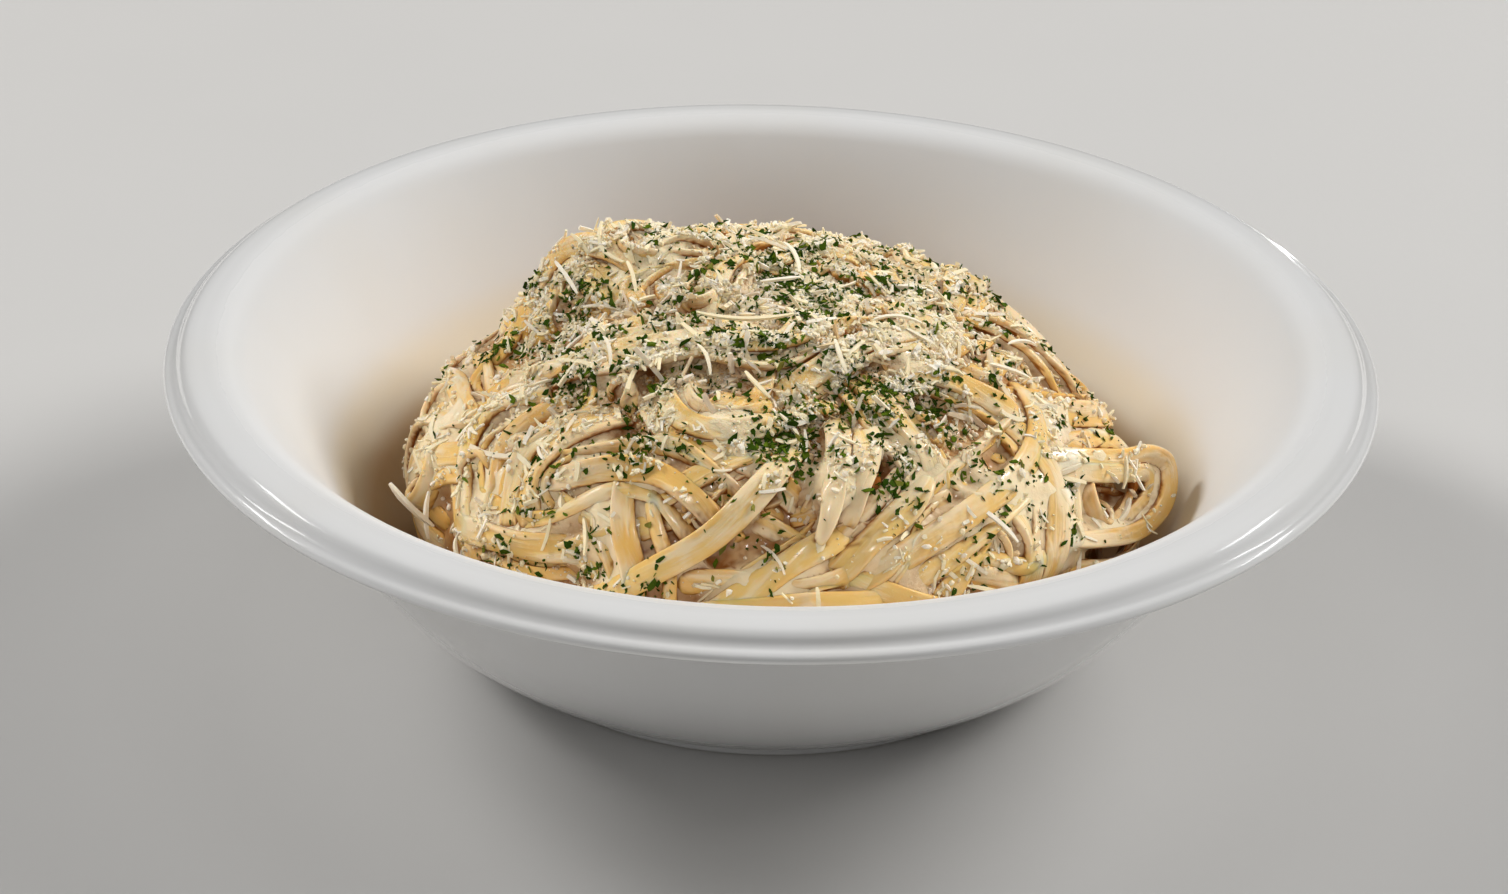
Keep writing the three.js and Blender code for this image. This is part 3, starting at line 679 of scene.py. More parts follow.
class Finish:
    """A material under construction: its Principled shader, and the base colour painted so far.

    Constants are the shader's own sockets, in small letters with underscores.
    """

    def __init__(self, name, base, **constants):
        self.material = bpy.data.materials.new(name)
        self.material.use_nodes = True
        self.tree = self.material.node_tree
        self.shader = self.tree.nodes["Principled BSDF"]
        self.base = base
        for socket, value in constants.items():
            self.shader.inputs[socket.replace("_", " ").title().replace("Ior", "IOR")].default_value = value

    def node(self, kind, settings=None, inputs=None):
        """Adds a node, sets it, and gives its sockets values or links."""
        made = self.tree.nodes.new(kind)
        for name, value in (settings or {}).items():
            setattr(made, name, value)
        for name, value in (inputs or {}).items():
            self.give(made.inputs[name], value)
        return made

    def give(self, socket, value):
        if isinstance(value, Wire):
            self.tree.links.new(value.socket, socket)
        else:
            socket.default_value = value

    def wire(self, made, output=0):
        return Wire(self, made.outputs[output])

    def math(self, operation, first, second):
        return self.wire(self.node("ShaderNodeMath", {"operation": operation}, {0: first, 1: second}))

    def place(self):
        return self.wire(self.node("ShaderNodeTexCoord"), "Object")

    def stored(self, name, output="Fac"):
        return self.wire(self.node("ShaderNodeAttribute", {"attribute_name": name}), output)

    def noise(self, size, detail=3.0, roughness=0.55, distortion=0.0, place=None):
        """Noise whose blotches are about this many millimetres across."""
        inputs = {
            "Vector": place or self.place(),
            "Scale": 1 / (size * MM),
            "Detail": detail,
            "Roughness": roughness,
            "Distortion": distortion,
        }
        return self.wire(self.node("ShaderNodeTexNoise", None, inputs), "Fac")

    def step(self, value, low, high):
        """0 under low, 1 over high, smooth between."""
        settings = {"interpolation_type": "SMOOTHSTEP"}
        inputs = {0: value, 1: low, 2: high, 3: 0.0, 4: 1.0}
        return self.wire(self.node("ShaderNodeMapRange", settings, inputs))

    def mix(self, share, first, second):
        """A blend of two colours."""
        made = self.node("ShaderNodeMix", {"data_type": "RGBA"})
        for index, value in ((0, share), (6, first), (7, second)):
            if index and not isinstance(value, Wire):
                value = (*value, 1)
            self.give(made.inputs[index], value)
        return self.wire(made, 2)

    def paint(self, share, colour):
        """Lays a colour over the base."""
        self.base = self.mix(share, self.base, colour)

    def shade(self, crevice_shade):
        """Paints shade into the base in narrow gaps, and tells how well each place is lit."""
        lit = self.step(self.stored("open"), *SHADE_TO_LIGHT)
        self.paint((1 - lit) ** 0.9, crevice_shade)
        return lit

    def surface(self, roughness, coat=None, relief=None, strength=0.0, depth=0.0):
        """Gives the shader the painted base and the rest, with the relief's depth in millimetres."""
        inputs = {"Base Color": self.base, "Roughness": roughness}
        if coat is not None:
            inputs["Coat Weight"] = coat
        if relief is not None:
            bump = {"Height": relief, "Strength": strength, "Distance": depth * MM}
            inputs["Normal"] = self.wire(self.node("ShaderNodeBump", None, bump))
        for name, value in inputs.items():
            self.give(self.shader.inputs[name], value)
        return self.material


def scaled(colour, factors):
    """A colour with its red, green and blue multiplied, up to 1."""
    return tuple(min(1, c * k) for c, k in zip(colour, factors))


def porcelain(colour):
    """White body with a sauce smear and painted warm bounce and contact shadow low in the well, glossy
    outside and on the rim, satin inside, bare underfoot.
    """
    finish = Finish("porcelain", colour, coat_roughness=0.02)
    blotch = finish.noise(45, 2)
    height = finish.wire(finish.node("ShaderNodeSeparateXYZ", None, {0: finish.place()}), 2)
    bare = 1 - finish.step(height, 0.15 * MM, 0.5 * MM)
    finish.paint(finish.step(blotch, 0.35, 0.75), scaled(colour, GLAZE_WARMTH))
    smear = finish.noise(26, 4, 0.6, 1.2) * 0.3 + 0.7
    smear_and_shade = finish.stored("well")
    # Painted warm bounce from the noodles over a sauce smear, on the lower wall of the well.
    finish.paint(finish.step(smear_and_shade, 0.0, 0.6) * smear * 0.85, SMEAR_AND_BOUNCE)
    # Painted contact shadow next to the food, over the smear, at the bottom of the well.
    finish.paint(finish.step(smear_and_shade, 0.7, 1.05) * smear, SMEAR_AND_CONTACT_SHADOW)
    finish.paint(bare, BARE_CLAY)
    gloss = finish.stored("gloss")
    return finish.surface(
        roughness=finish.noise(6, 2) * 0.06 + 0.38 - gloss * 0.22 + bare * 0.5,
        coat=gloss * (1 - bare),
        relief=finish.noise(30, 1) * 0.7 + finish.noise(7, 2) * 0.08,
        strength=0.12,
        depth=1.6,
    )


def pasta(pale, warm, cream, crevice_shade):
    """Cooked egg noodle, yellow inside, with a film of cream sauce and dust of cheese, painted warmer where
    light soaks through its edges, with painted warm shade deep in the heap and painted shade in its gaps.
    """
    finish = Finish("pasta", pale, subsurface_weight=0.6, subsurface_scale=0.9 * MM, coat_roughness=0.16,
                    subsurface_radius=(1.0, 0.65, 0.38), ior=1.42, specular_ior_level=0.35)
    depth = finish.stored("depth")
    dust = finish.stored("dust")
    along = {"Vector": finish.stored("strand", "Vector"), "Scale": (0.16, 1, 1)}
    lie = finish.wire(finish.node("ShaderNodeMapping", None, along))
    streak = finish.noise(1.5, 4, 0.6, place=lie)
    smear = finish.noise(4.5, 3, 0.6, 0.5, place=lie)
    wet = smear + finish.noise(11, 3, 0.6, 0.4) * 0.5 + depth * 0.02 + finish.stored("pool") * 0.4
    film = finish.step(wet, 0.66, 0.94)
    halfway = tuple(0.5 * p + 0.5 * w for p, w in zip(pale, warm))
    finish.paint(finish.step(finish.stored("tone"), 0.1, 0.9), halfway)
    # Painted glow of light soaking through the thin edges of the noodles.
    finish.paint(finish.step(finish.stored("edge"), 0.55, 1.0) * 0.35, warm)
    # Painted warm shade deeper in the heap, where the light reaching the noodles has passed through others.
    finish.paint((1 - finish.step(depth, -6.5, 0.0)) * 0.9, warm)
    finish.paint(film * 0.7, MILK)
    finish.paint(finish.step(streak, 0.45, 0.75) * 0.2, cream)
    speck = finish.step(finish.noise(0.7, 2, 0.7) + dust * 0.2, 0.62, 0.70) * dust
    finish.paint(speck * 0.4, CHEESE_DUST)
    lit = finish.shade(crevice_shade)
    return finish.surface(
        roughness=0.38 - film * 0.14 + dust * 0.2 + streak * 0.08,
        coat=(film * 0.35 + 0.62 - dust * 0.3) * lit,
        relief=film + streak * 0.35 + speck * 0.5 + finish.noise(3.2, 2) * 0.4,
        strength=0.5,
        depth=0.55,
    )


def cream_sauce(cream, shade, crevice_shade):
    """Cream and cheese sauce: near white where it lies thick, with painted brown shade deep in the heap and
    painted shade in its gaps.
    """
    finish = Finish("sauce", shade, subsurface_weight=0.5, subsurface_scale=0.9 * MM, coat_roughness=0.11,
                    subsurface_radius=(1.0, 0.72, 0.5), ior=1.42, specular_ior_level=0.35)
    dust = finish.stored("dust")
    blotch = finish.noise(11, 3, 0.6, 0.4)
    # Cream laid over the painted shade colour, which is left deep in the heap.
    finish.paint(finish.step(finish.stored("depth") + blotch * 2.5, -3.6, 1.8), cream)
    finish.paint(finish.step(blotch, 0.45, 0.7) * 0.35, TOASTED)
    finish.paint(finish.step(finish.stored("pool"), 0.5, 1.5) * 0.85, POOLED_CREAM)
    speck = finish.step(finish.noise(0.8, 2, 0.7) + dust * 0.22, 0.56, 0.68) * dust
    finish.paint(speck * 0.6, CHEESE_DUST)
    lit = finish.shade(crevice_shade)
    return finish.surface(
        roughness=blotch * 0.2 + 0.22 + dust * 0.25,
        coat=(0.95 - dust * 0.5) * lit,
        relief=finish.noise(2.2, 3) * 0.55 + speck * 0.5 + finish.noise(6, 2) * 0.3,
        strength=0.5,
        depth=0.8,
    )


def grated_cheese(colour):
    """Hard cheese, dry and slightly see-through, with painted warm shade where it lies in the gaps among the
    noodles.
    """
    finish = Finish("cheese", colour, subsurface_weight=0.4, subsurface_scale=0.6 * MM,
                    subsurface_radius=(1.0, 0.8, 0.6))
    finish.paint(finish.step(finish.stored("tone"), 0.25, 0.9), scaled(colour, CHEESE_PALENESS))
    finish.paint(finish.step(finish.noise(1.4, 3), 0.5, 0.75) * 0.3, CHEESE_RIND)
    # Painted warm shade on grains that lie deep among the noodles.
    finish.paint((1 - finish.step(finish.stored("open"), 0.2, 1.2)) * 0.92, CHEESE_CREVICE_SHADE)
    roughness = finish.noise(0.9, 2) * 0.25 + 0.42
    return finish.surface(roughness, relief=finish.noise(0.5, 3, 0.7), strength=0.5, depth=0.25)


def parsley(leaf, light):
    """Dried chopped leaf, dark green with paler and yellowed scraps."""
    finish = Finish("parsley", leaf, specular_ior_level=0.08)
    tone = finish.stored("tone")
    finish.paint(finish.step(tone, 0.35, 0.95), light)
    finish.paint(finish.step(tone, 0.93, 0.99) * 0.8, YELLOWED_LEAF)
    finish.paint(finish.noise(0.6, 2) * 0.45, leaf)
    roughness = finish.noise(0.8, 2) * 0.3 + 0.45
    return finish.surface(roughness, relief=finish.noise(0.35, 3, 0.7), strength=0.6, depth=0.2)


def studio_floor(colour):
    finish = Finish("studio_floor", colour)
    finish.paint(finish.noise(180, 3) * 0.3, scaled(colour, FLOOR_SHADE))
    return finish.surface(finish.noise(40, 3) * 0.1 + 0.5)


# ---- Bowl ----


def bowl_section(bowl):
    """The bowl's closed section, from the axis under the foot round to the axis on the well's floor."""
    lengths = (bowl.height, bowl.crest_radius, bowl.arch_radius, bowl.lip_radius)
    height, crest, arch, lip = (value / MM for value in lengths)
    lip_foot = (bowl.rim_radius / MM - lip, RIM_STEP[0][1] - LIP_DROP)
    under = [BODY_CURVE[-1], *UNDER_RIM, lip_foot]
    rim = [lip_foot, *RIM_STEP, (crest, height)]
    return np.vstack([
        FOOT,
        [BODY_CURVE[0]],
        bezier(BODY_CURVE[1:], BODY_CUTS)[:-1],
        route_at(under, np.linspace(0, 1, UNDER_RIM_CUTS))[:-1],
        route_at(rim, np.linspace(0, 1, RIM_CUTS))[:-1],
        arc((crest, height - arch), arch, 90, 90 + SHOULDER_SLOPE, ARCH_CUTS)[:-1],
        well_section(bowl),
    ])


class FETTUCCINE_OT_bowl(bpy.types.Operator):
    """Turn the porcelain bowl from its section"""

    bl_idname = "fettuccine.bowl"
    bl_label = "Bowl"
    turns = 160

    def execute(self, context):
        settings = context.scene.fettuccine_bowl
        section = bowl_section(settings) * MM
        deselect()
        bpy.ops.mesh.primitive_circle_add(vertices=len(section), radius=settings.rim_radius)
        bowl = context.active_object
        bowl.name = bowl.data.name = "porcelain_bowl"
        move_to(bowl.data, np.column_stack([section[:, 0], np.zeros(len(section)), section[:, 1]]))
        activate(bowl)
        bpy.ops.object.mode_set(mode="EDIT")
        bpy.ops.mesh.select_all(action="SELECT")
        bpy.ops.mesh.spin(steps=self.turns, angle=2 * math.pi, center=(0, 0, 0), axis=(0, 0, 1))
        bpy.ops.mesh.select_all(action="SELECT")
        bpy.ops.mesh.remove_doubles(threshold=MERGE_UNDER)
        bpy.ops.mesh.dissolve_degenerate(threshold=NO_LENGTH)
        bpy.ops.mesh.select_all(action="SELECT")
        bpy.ops.mesh.normals_make_consistent(inside=False)
        bpy.ops.object.mode_set(mode="OBJECT")
        smooth(bowl)
        points = coordinates(bowl.data) / MM
        well = well_section(settings)[::-1]
        radius = np.hypot(points[:, 0], points[:, 1])
        inside = radius < np.interp(points[:, 2], well[:, 1], well[:, 0]) + WALL_MARGIN
        inward = np.sum(slopes(bowl.data)[:, :2] * points[:, :2], axis=1) < 0
        store(bowl.data, "gloss", np.where(inward, ramp(radius, *GLOSS_RADII), 1.0))
        # Where the painted bounce and contact shadow lie: inside the well, growing towards the bottom.
        store(bowl.data, "well", inside * ramp(points[:, 2], *SMEAR_AND_SHADE_HEIGHTS))
        finished(bowl, porcelain(settings.glaze), "porcelain", "bowl")
        return {"FINISHED"}


# ---- Noodles ----

ACROSS = np.array([-0.5, -0.37, 0.0, 0.37, 0.5])
NOODLE_PIECES = ("noodles_front", "noodles_beside", "noodles_back", "noodles_under")
HEAP_PIECES = (*NOODLE_PIECES, "cream_sauce")
# Places that a strip's length is measured at, the fewest steps along it, and how near its course is felt.
LENGTH_SAMPLES, LEAST_STEPS, NEAR = 24, 8, 0.02
# How strips are shaped: degrees of roll, share of the breadth, millimetres of arch and of frill.
STRIP_ROLL, ROLL_WAVES = (6, 22), 1.7
STRIP_WIDTH, WIDTH_SWELL, WIDTH_WAVES = (0.84, 1.02), 0.06, 9
STRIP_ARCH = (-0.3, 1.1)
FRILL, FRILL_WAVES, FRILL_LENGTH, FRILL_OFFSET = (0.1, 0.55), (0.6, 1.3), 7, 1.3
# A strip that leans more than this many degrees keeps its lean nearly up to its ends.
STANDING, STANDING_HOLD = 60, 0.25
PHASE_TURN = 6
PATTERN_SHIFT = 7.3
FIRST_SEED, SEED_STEP = 1000, 7
# Elevations between which the cheese thickens, and the least of it.
DUST_FROM, DUST_FULL, LEAST_DUST = 16, 60, 0.04
# The most millimetres that a place counts as standing over the heap's outline.
DEPTH_TOP = 2.5


def noodle_strip(noodle, seed, settings):
    """One flat strip laid along its stops, cupped across and ruffled along its edges."""
    stops, lean, pointed, breadth = noodle
    samples = noodle_places(stops, np.linspace(0, 1, LENGTH_SAMPLES))[1]
    run = np.linalg.norm(np.diff(samples, axis=0), axis=1).sum()
    steps = max(LEAST_STEPS, round(run / (settings.step / MM)))
    bpy.ops.mesh.primitive_grid_add(x_subdivisions=steps, y_subdivisions=len(ACROSS) - 1, size=1)
    strip = bpy.context.active_object
    flat = coordinates(strip.data)
    share = flat[:, 0] + 0.5
    across = ACROSS[np.round((flat[:, 1] + 0.5) * (len(ACROSS) - 1)).astype(int)]
    route, point = noodle_places(stops, share)
    tangent = unit(noodle_places(stops, share + NEAR)[1] - noodle_places(stops, share - NEAR)[1])
    draws = np.random.default_rng(seed)
    cup, ruffle, waves, phase, stretch = draws.random(5)
    turn = PHASE_TURN * phase
    hold = np.sin(np.pi * np.clip(share, 0, 1)) ** (STANDING_HOLD if abs(lean) > STANDING else 1)
    roll = between(STRIP_ROLL, waves) * np.sin(2 * np.pi * (share * ROLL_WAVES + phase))
    lean = np.radians(lean * hold + roll)[:, None]
    normal = heap_normal(route[:, 0], route[:, 1])
    along = tangent * np.sum(tangent * normal, -1, keepdims=True) * (1 - np.cos(lean))
    normal = normal * np.cos(lean) + np.cross(tangent, normal) * np.sin(lean) + along
    side = unit(np.cross(tangent, normal))
    face = unit(np.cross(side, tangent))
    swell = 1 + WIDTH_SWELL * np.sin(WIDTH_WAVES * share + turn)
    width = breadth * settings.width / MM * between(STRIP_WIDTH, stretch) * swell
    if pointed:
        width = width * between((1, TIP_WIDTH), share**3)
    arch = between(STRIP_ARCH, cup) * (1 - 4 * across**2)
    edge = np.abs(across) * 2
    wave = run / FRILL_LENGTH * share * between(FRILL_WAVES, waves) + np.sign(across) * FRILL_OFFSET + turn
    frill = between(FRILL, ruffle) * edge * np.sin(wave)
    placed = point + side * (across * width)[:, None] + face * (arch + frill)[:, None]
    move_to(strip.data, placed * MM)
    store(strip.data, "tone", np.full(len(flat), draws.random()))
    store(strip.data, "edge", edge)
    pattern = np.stack([share * run, across * width, np.full(len(flat), seed * PATTERN_SHIFT)], -1)
    store(strip.data, "strand", pattern * MM)
    return strip


def press_into_well(thing, bowl):
    move_to(thing.data, keep_in_well(coordinates(thing.data) / MM, bowl) * MM)
    smooth(thing)


def noodles(layers, name, settings, bowl):
    """Strips given their thickness, rounded and joined into one piece."""
    deselect()
    seeds = range(FIRST_SEED + len(name), FIRST_SEED + len(name) + SEED_STEP * len(layers), SEED_STEP)
    piece = joined([noodle_strip(noodle, seed, settings) for noodle, seed in zip(layers, seeds)], name)
    finish_with(piece, "SOLIDIFY", thickness=settings.thickness, offset=0.0)
    finish_with(piece, "SUBSURF", levels=1, render_levels=1)
    press_into_well(piece, bowl)
    return piece


def dusting(azimuth, elevation):
    """How thick the cheese fell, from 0 to 1: thick over the crown, thin low on the sides."""
    share = ramp(elevation, DUST_FROM, DUST_FULL)
    share = share * share * (3 - 2 * share)
    return np.clip(raised(share, azimuth, elevation, CHEESE_DRIFTS), LEAST_DUST, 1)


def facing_up(normals, upright, least):
    """How much stays on each slope, with the share of an upright one and the least of all."""
    return np.clip(normals[:, 2] * 0.9 + upright, least, 1)


def blotches(points, size, finer, share):
    """Noise at each point, with a share of finer noise over it."""
    spots = [Vector(point) for point in points]
    return np.array([noise.noise(spot * size) + share * noise.noise(spot * finer) for spot in spots])


def store_place_on_heap(mesh):
    """Keeps each vertex's height over the heap's outline, the sauce pooled there and the dust of cheese."""
    azimuth, elevation, reach = angles(coordinates(mesh) / MM)
    store(mesh, "depth", np.minimum(reach - heap_reach(azimuth, elevation), DEPTH_TOP))
    store(mesh, "pool", raised(0, azimuth, elevation, POOLS))
    store(mesh, "dust", dusting(azimuth, elevation) * facing_up(slopes(mesh), 0.45, 0))


class FETTUCCINE_OT_noodles(bpy.types.Operator):
    """Lay the noodles that show, and the layers under and between them"""

    bl_idname = "fettuccine.noodles"
    bl_label = "Noodles"

    def execute(self, context):
        scene = context.scene
        draws = np.random.default_rng(BESIDE_SEED)
        shown = [
            Noodle(stops, lean, name in POINTED, LEDGE_BREADTH if name in LEDGE else SHOWN_BREADTH)
            for name, (stops, lean) in STRANDS.items()
        ]
        led = [noodle for noodle, name in zip(shown, STRANDS) if name not in ALONE]
        back, under, fill = (laid_by_rule(layer) for layer in (BACK_LAYER, UNDER_LAYER, FILL_LAYER))
        layers = {
            "noodles_front": shown + fill + [ring_noodle(*ring) for ring in RINGS],
            "noodles_beside": running_beside(led, draws),
            "noodles_back": back + running_beside(back, draws),
            "noodles_under": under,
        }
        settings = scene.fettuccine_noodles
        sauce = scene.fettuccine_sauce
        finish = pasta(settings.pale, settings.warm, sauce.cream, sauce.crevice_shade)
        for name, strands in layers.items():
            piece = noodles(strands, name, settings, scene.fettuccine_bowl)
            store_place_on_heap(piece.data)
            finished(piece, finish, "pasta", "fettuccine")
        return {"FINISHED"}


# ---- Sauce ----

CORE_LOWEST = -45
CORE_SEGMENTS, CORE_RINGS = 96, 64
# Soft patches of sauce: how fine, how strong, how much is taken off, and limits in millimetres.
PATCH_GRAIN, PATCH_GAIN, PATCH_LESS, PATCH_LIMITS = (70, 230, 0.5), 1.4, 0.8, (-1.3, 0.5)


def packed_core(settings, bowl):
    """The dense middle of the heap, down to the well's floor."""
    deselect()
    bpy.ops.mesh.primitive_uv_sphere_add(segments=CORE_SEGMENTS, ring_count=CORE_RINGS, radius=1)
    core = bpy.context.active_object
    towards = coordinates(core.data)
    azimuth, elevation, _ = angles(towards + HEAP_CENTRE)
    inset = settings.core_inset / MM
    upper = heap_point(azimuth, np.maximum(elevation, CORE_LOWEST), np.full(len(elevation), -inset))
    lower = HEAP_CENTRE + towards * HEAP_RADIUS
    points = np.where((elevation > CORE_LOWEST)[:, None], upper, lower)
    move_to(core.data, keep_in_well(points, bowl) * MM)
    return core


class FETTUCCINE_OT_sauce(bpy.types.Operator):
    """Pour the cream sauce between the noodles"""

    bl_idname = "fettuccine.sauce"
    bl_label = "Sauce"
    web = 1.0
    relax = 4
    relax_share = 0.6
    most_faces = 96000

    def execute(self, context):
        scene = context.scene
        settings, bowl = scene.fettuccine_sauce, scene.fettuccine_bowl
        core = packed_core(settings, bowl)
        coated = [copy_of(bpy.data.objects[name]) for name in NOODLE_PIECES]
        for piece in coated:
            piece.parent = None
        strings = [Noodle(stops, 0, True, DRIP_BREADTH) for stops in DRIPS]
        drips = noodles(strings, "drips", scene.fettuccine_noodles, bowl)
        sauce = joined([core, drips, *coated], "cream_sauce")
        finish_with(sauce, "REMESH", mode="VOXEL", voxel_size=settings.grain, use_smooth_shade=True)
        move_to(sauce.data, coordinates(sauce.data) + slopes(sauce.data) * self.web * MM)
        finish_with(sauce, "REMESH", mode="VOXEL", voxel_size=settings.grain, use_smooth_shade=True)
        finish_with(sauce, "SMOOTH", factor=self.relax_share, iterations=self.relax)
        self.settle(sauce)
        if len(sauce.data.polygons) > self.most_faces:
            finish_with(sauce, "DECIMATE", ratio=self.most_faces / len(sauce.data.polygons))
        press_into_well(sauce, bowl)
        store_place_on_heap(sauce.data)
        ground = Ground(HEAP_PIECES)
        for name in HEAP_PIECES:
            mesh = bpy.data.objects[name].data
            store(mesh, "open", ground.openness(coordinates(mesh), slopes(mesh)))
        finished(sauce, cream_sauce(settings.cream, settings.shade, settings.crevice_shade), "sauce", "fettuccine")
        return {"FINISHED"}

    @classmethod
    def settle(cls, sauce):
        """Draws the swollen sauce back to show the noodles, but for soft patches that stay over them."""
        points = coordinates(sauce.data)
        soft = blotches(points, *PATCH_GRAIN)
        azimuth, elevation, _ = angles(points / MM)
        thick = soft * PATCH_GAIN - PATCH_LESS + raised(0, azimuth, elevation, POOLS)
        thick = np.clip(thick, *PATCH_LIMITS) - cls.web
        move_to(sauce.data, points + slopes(sauce.data) * thick[:, None] * MM)


# ---- Toppings ----

# Least elevation at which cheese and parsley fall.
LOWEST_FALL = -4
# How cheese gathers: places tried for each that is kept, and the patches' fineness and strength.
TRIES, DRIFT_GRAIN, DRIFT_GAIN, DRIFT_SHARE, DRIFT_LEAST = 6, (9, 26, 0.4), 3.2, 0.30, 0.03
# Strips off a grater: where they bend, seed, millimetres long and wide, curl, and radians of tilt.
BENDS = (-0.66, -0.33, 0, 0.33, 0.66)
STRIPS = {
    "shreds": dict(cuts=BENDS, seed=3, run=(3.5, 11), wide=(0.7, 1.25), curl=0.05, tilt=0.7),
    "curls": dict(cuts=BENDS, seed=9, run=(15, 24), wide=(0.9, 1.2), curl=0.11, tilt=0.15),
    "slivers": dict(cuts=(0,), seed=4, run=(1.2, 5.0), wide=(0.4, 0.95), curl=0.06, tilt=1.0),
}
# Every strip: height as a share of its width, bow as a share of its length, taper, wobble, rise, how far
# short ones outnumber long ones, and the share that falls everywhere.
STRIP_HIGH, STRIP_BOW, STRIP_TAPER = (0.6, 1.0), (-0.01, 0.05), (0.0, 0.6)
STRIP_WOBBLE, STRIP_RISE, STRIP_SKEW, STRIP_EVERYWHERE = 0.08, 0.25, 2.0, 0.06
LONG_CUTS = (-0.75, -0.5, -0.25, 0, 0.25, 0.5, 0.75)
LONG_SEED, LONG_HIGH, LONG_ARCH, LONG_TAPER, LONG_WOBBLE = 12, 0.7, 0.8, 0.5, 0.06
# Some strips stand up at one end: how many of them, and to what share of their length or how far.
PROUD_SHARE, PROUD_RUN, PROUD_MOST = 0.14, 0.6, 3.2
# Crumbs and finer grains: seed and millimetres across, and how they are stretched, roughened and tilted.
GRAINS = {"crumbs": (5, (0.5, 1.6)), "grains": (6, (0.25, 0.6))}
CRUMB_STRETCH, CRUMB_ROUGHNESS, CRUMB_TILT, CRUMB_SKEW, CRUMB_RISE = (0.6, 1.5), 0.16, 1.2, 2.2, 0.25
# Parsley: corners and millimetres of a flake, its narrowness, thickness and tilt, how it is notched, curled
# and crumpled, how high it lies, where loose flakes fall and how the flakes gather.
PARSLEY_SEED = 17
LEAF_CORNERS, LEAF_SIZES, LEAF_NARROW, LEAF_THICK, LEAF_TILT = 7, (0.6, 2.8), (0.2, 0.7), 0.16, 0.7
LEAF_NOTCH, LEAF_REACH, LEAF_CURL, LEAF_CRUMPLE = 0.34, (0.35, 1.7), 0.3, 0.09
LEAF_SKEW, LEAF_GAP, LEAF_RISE = 1.7, 0.12, 0.06
LOOSE_FROM, LOOSE_FULL, LEAST_LOOSE, TOP_ELEVATION = -2, 53, 0.12, 89.5
CLUSTERED, CLUSTER_FLAKES, CLUSTER_SPREAD, DRIFT_FLAKES = 0.62, 14, 1.4, 1.8


def over_the_heap(count, draws):
    """Directions spread evenly over the heap."""
    azimuth = draws.random(count) * 360 - 180
    heights = between((math.sin(math.radians(LOWEST_FALL)), 1), draws.random(count))
    return azimuth, np.degrees(np.arcsin(heights))


def fallen(ground, count, draws, everywhere=0.0):
    """Places where cheese lies: most where it dusts and on what faces up, and a share everywhere."""
    azimuth, elevation = over_the_heap(count * TRIES, draws)
    patch = blotches(direction(azimuth, elevation), *DRIFT_GRAIN)
    gathered = np.clip(DRIFT_SHARE + patch * DRIFT_GAIN, DRIFT_LEAST, 1)
    thickness = between((everywhere, 1), dusting(azimuth, elevation))
    kept = draws.random(len(azimuth)) < thickness * gathered
    points, normals = ground.meet(azimuth[kept], elevation[kept])
    upward = draws.random(len(points)) < facing_up(normals, 0.4, 0.05)
    return points[upward][:count], normals[upward][:count]


def spun(normals, draws, tilt):
    """A turned frame of three axes for each normal, tipped by up to tilt radians."""
    count = len(normals)
    loose = unit(draws.normal(size=(count, 3)))
    up = unit(normals + loose * np.tan(tilt * draws.random((count, 1))))
    along = unit(np.cross(up, unit(draws.normal(size=(count, 3)))))
    return along, np.cross(up, along), up


def laid_out(parts, axes):
    """Offsets made of a part along each axis of each copy."""
    return sum(part[..., None] * axis[:, None] for part, axis in zip(parts, axes))


def scattered(name, shape, placed, tones, exposed=1.0):
    """One mesh of many copies of a shape: placed holds each copy's vertices."""
    faces = [list(p.vertices) for p in shape.polygons]
    copies, corners = placed.shape[:2]
    offsets = np.arange(copies)[:, None] * corners
    all_faces = [f for face in faces for f in (np.array(face)[None, :] + offsets).tolist()]
    mesh = bpy.data.meshes.new(name)
    mesh.from_pydata(placed.reshape(-1, 3).tolist(), [], all_faces)
    mesh.update()
    store(mesh, "tone", np.repeat(tones, corners))
    store(mesh, "open", np.repeat(exposed * np.ones(copies), corners))
    piece = bpy.data.objects.new(name, mesh)
    bpy.context.collection.objects.link(piece)
    return piece


def model(add, **settings):
    """A shape modelled once at the origin; its mesh is returned and its object removed."""
    deselect()
    add(**settings)
    thing = bpy.context.active_object
    mesh = thing.data
    bpy.data.objects.remove(thing)
    return mesh


def grains_of(name, shape, ground, count):
    """Crumbs or finer grains: each copy is stretched and turned its own way."""
    seed, sizes = GRAINS[name]
    draws = np.random.default_rng(seed)
    points, normals = fallen(ground, count, draws)
    count = len(points)
    axes = spun(normals, draws, CRUMB_TILT)
    size = between(sizes, draws.random(count) ** CRUMB_SKEW)[:, None] * MM
    stretch = between(CRUMB_STRETCH, draws.random((count, 3)))
    local = coordinates(shape)[None] * (stretch * size / 2)[:, None, :]
    local = local * (1 + draws.normal(scale=CRUMB_ROUGHNESS, size=local.shape[:2])[..., None])
    placed = (points + normals * size * CRUMB_RISE)[:, None, :] + laid_out(np.moveaxis(local, -1, 0), axes)
    return scattered("cheese_" + name, shape, placed, draws.random(count), ground.openness(points, normals))


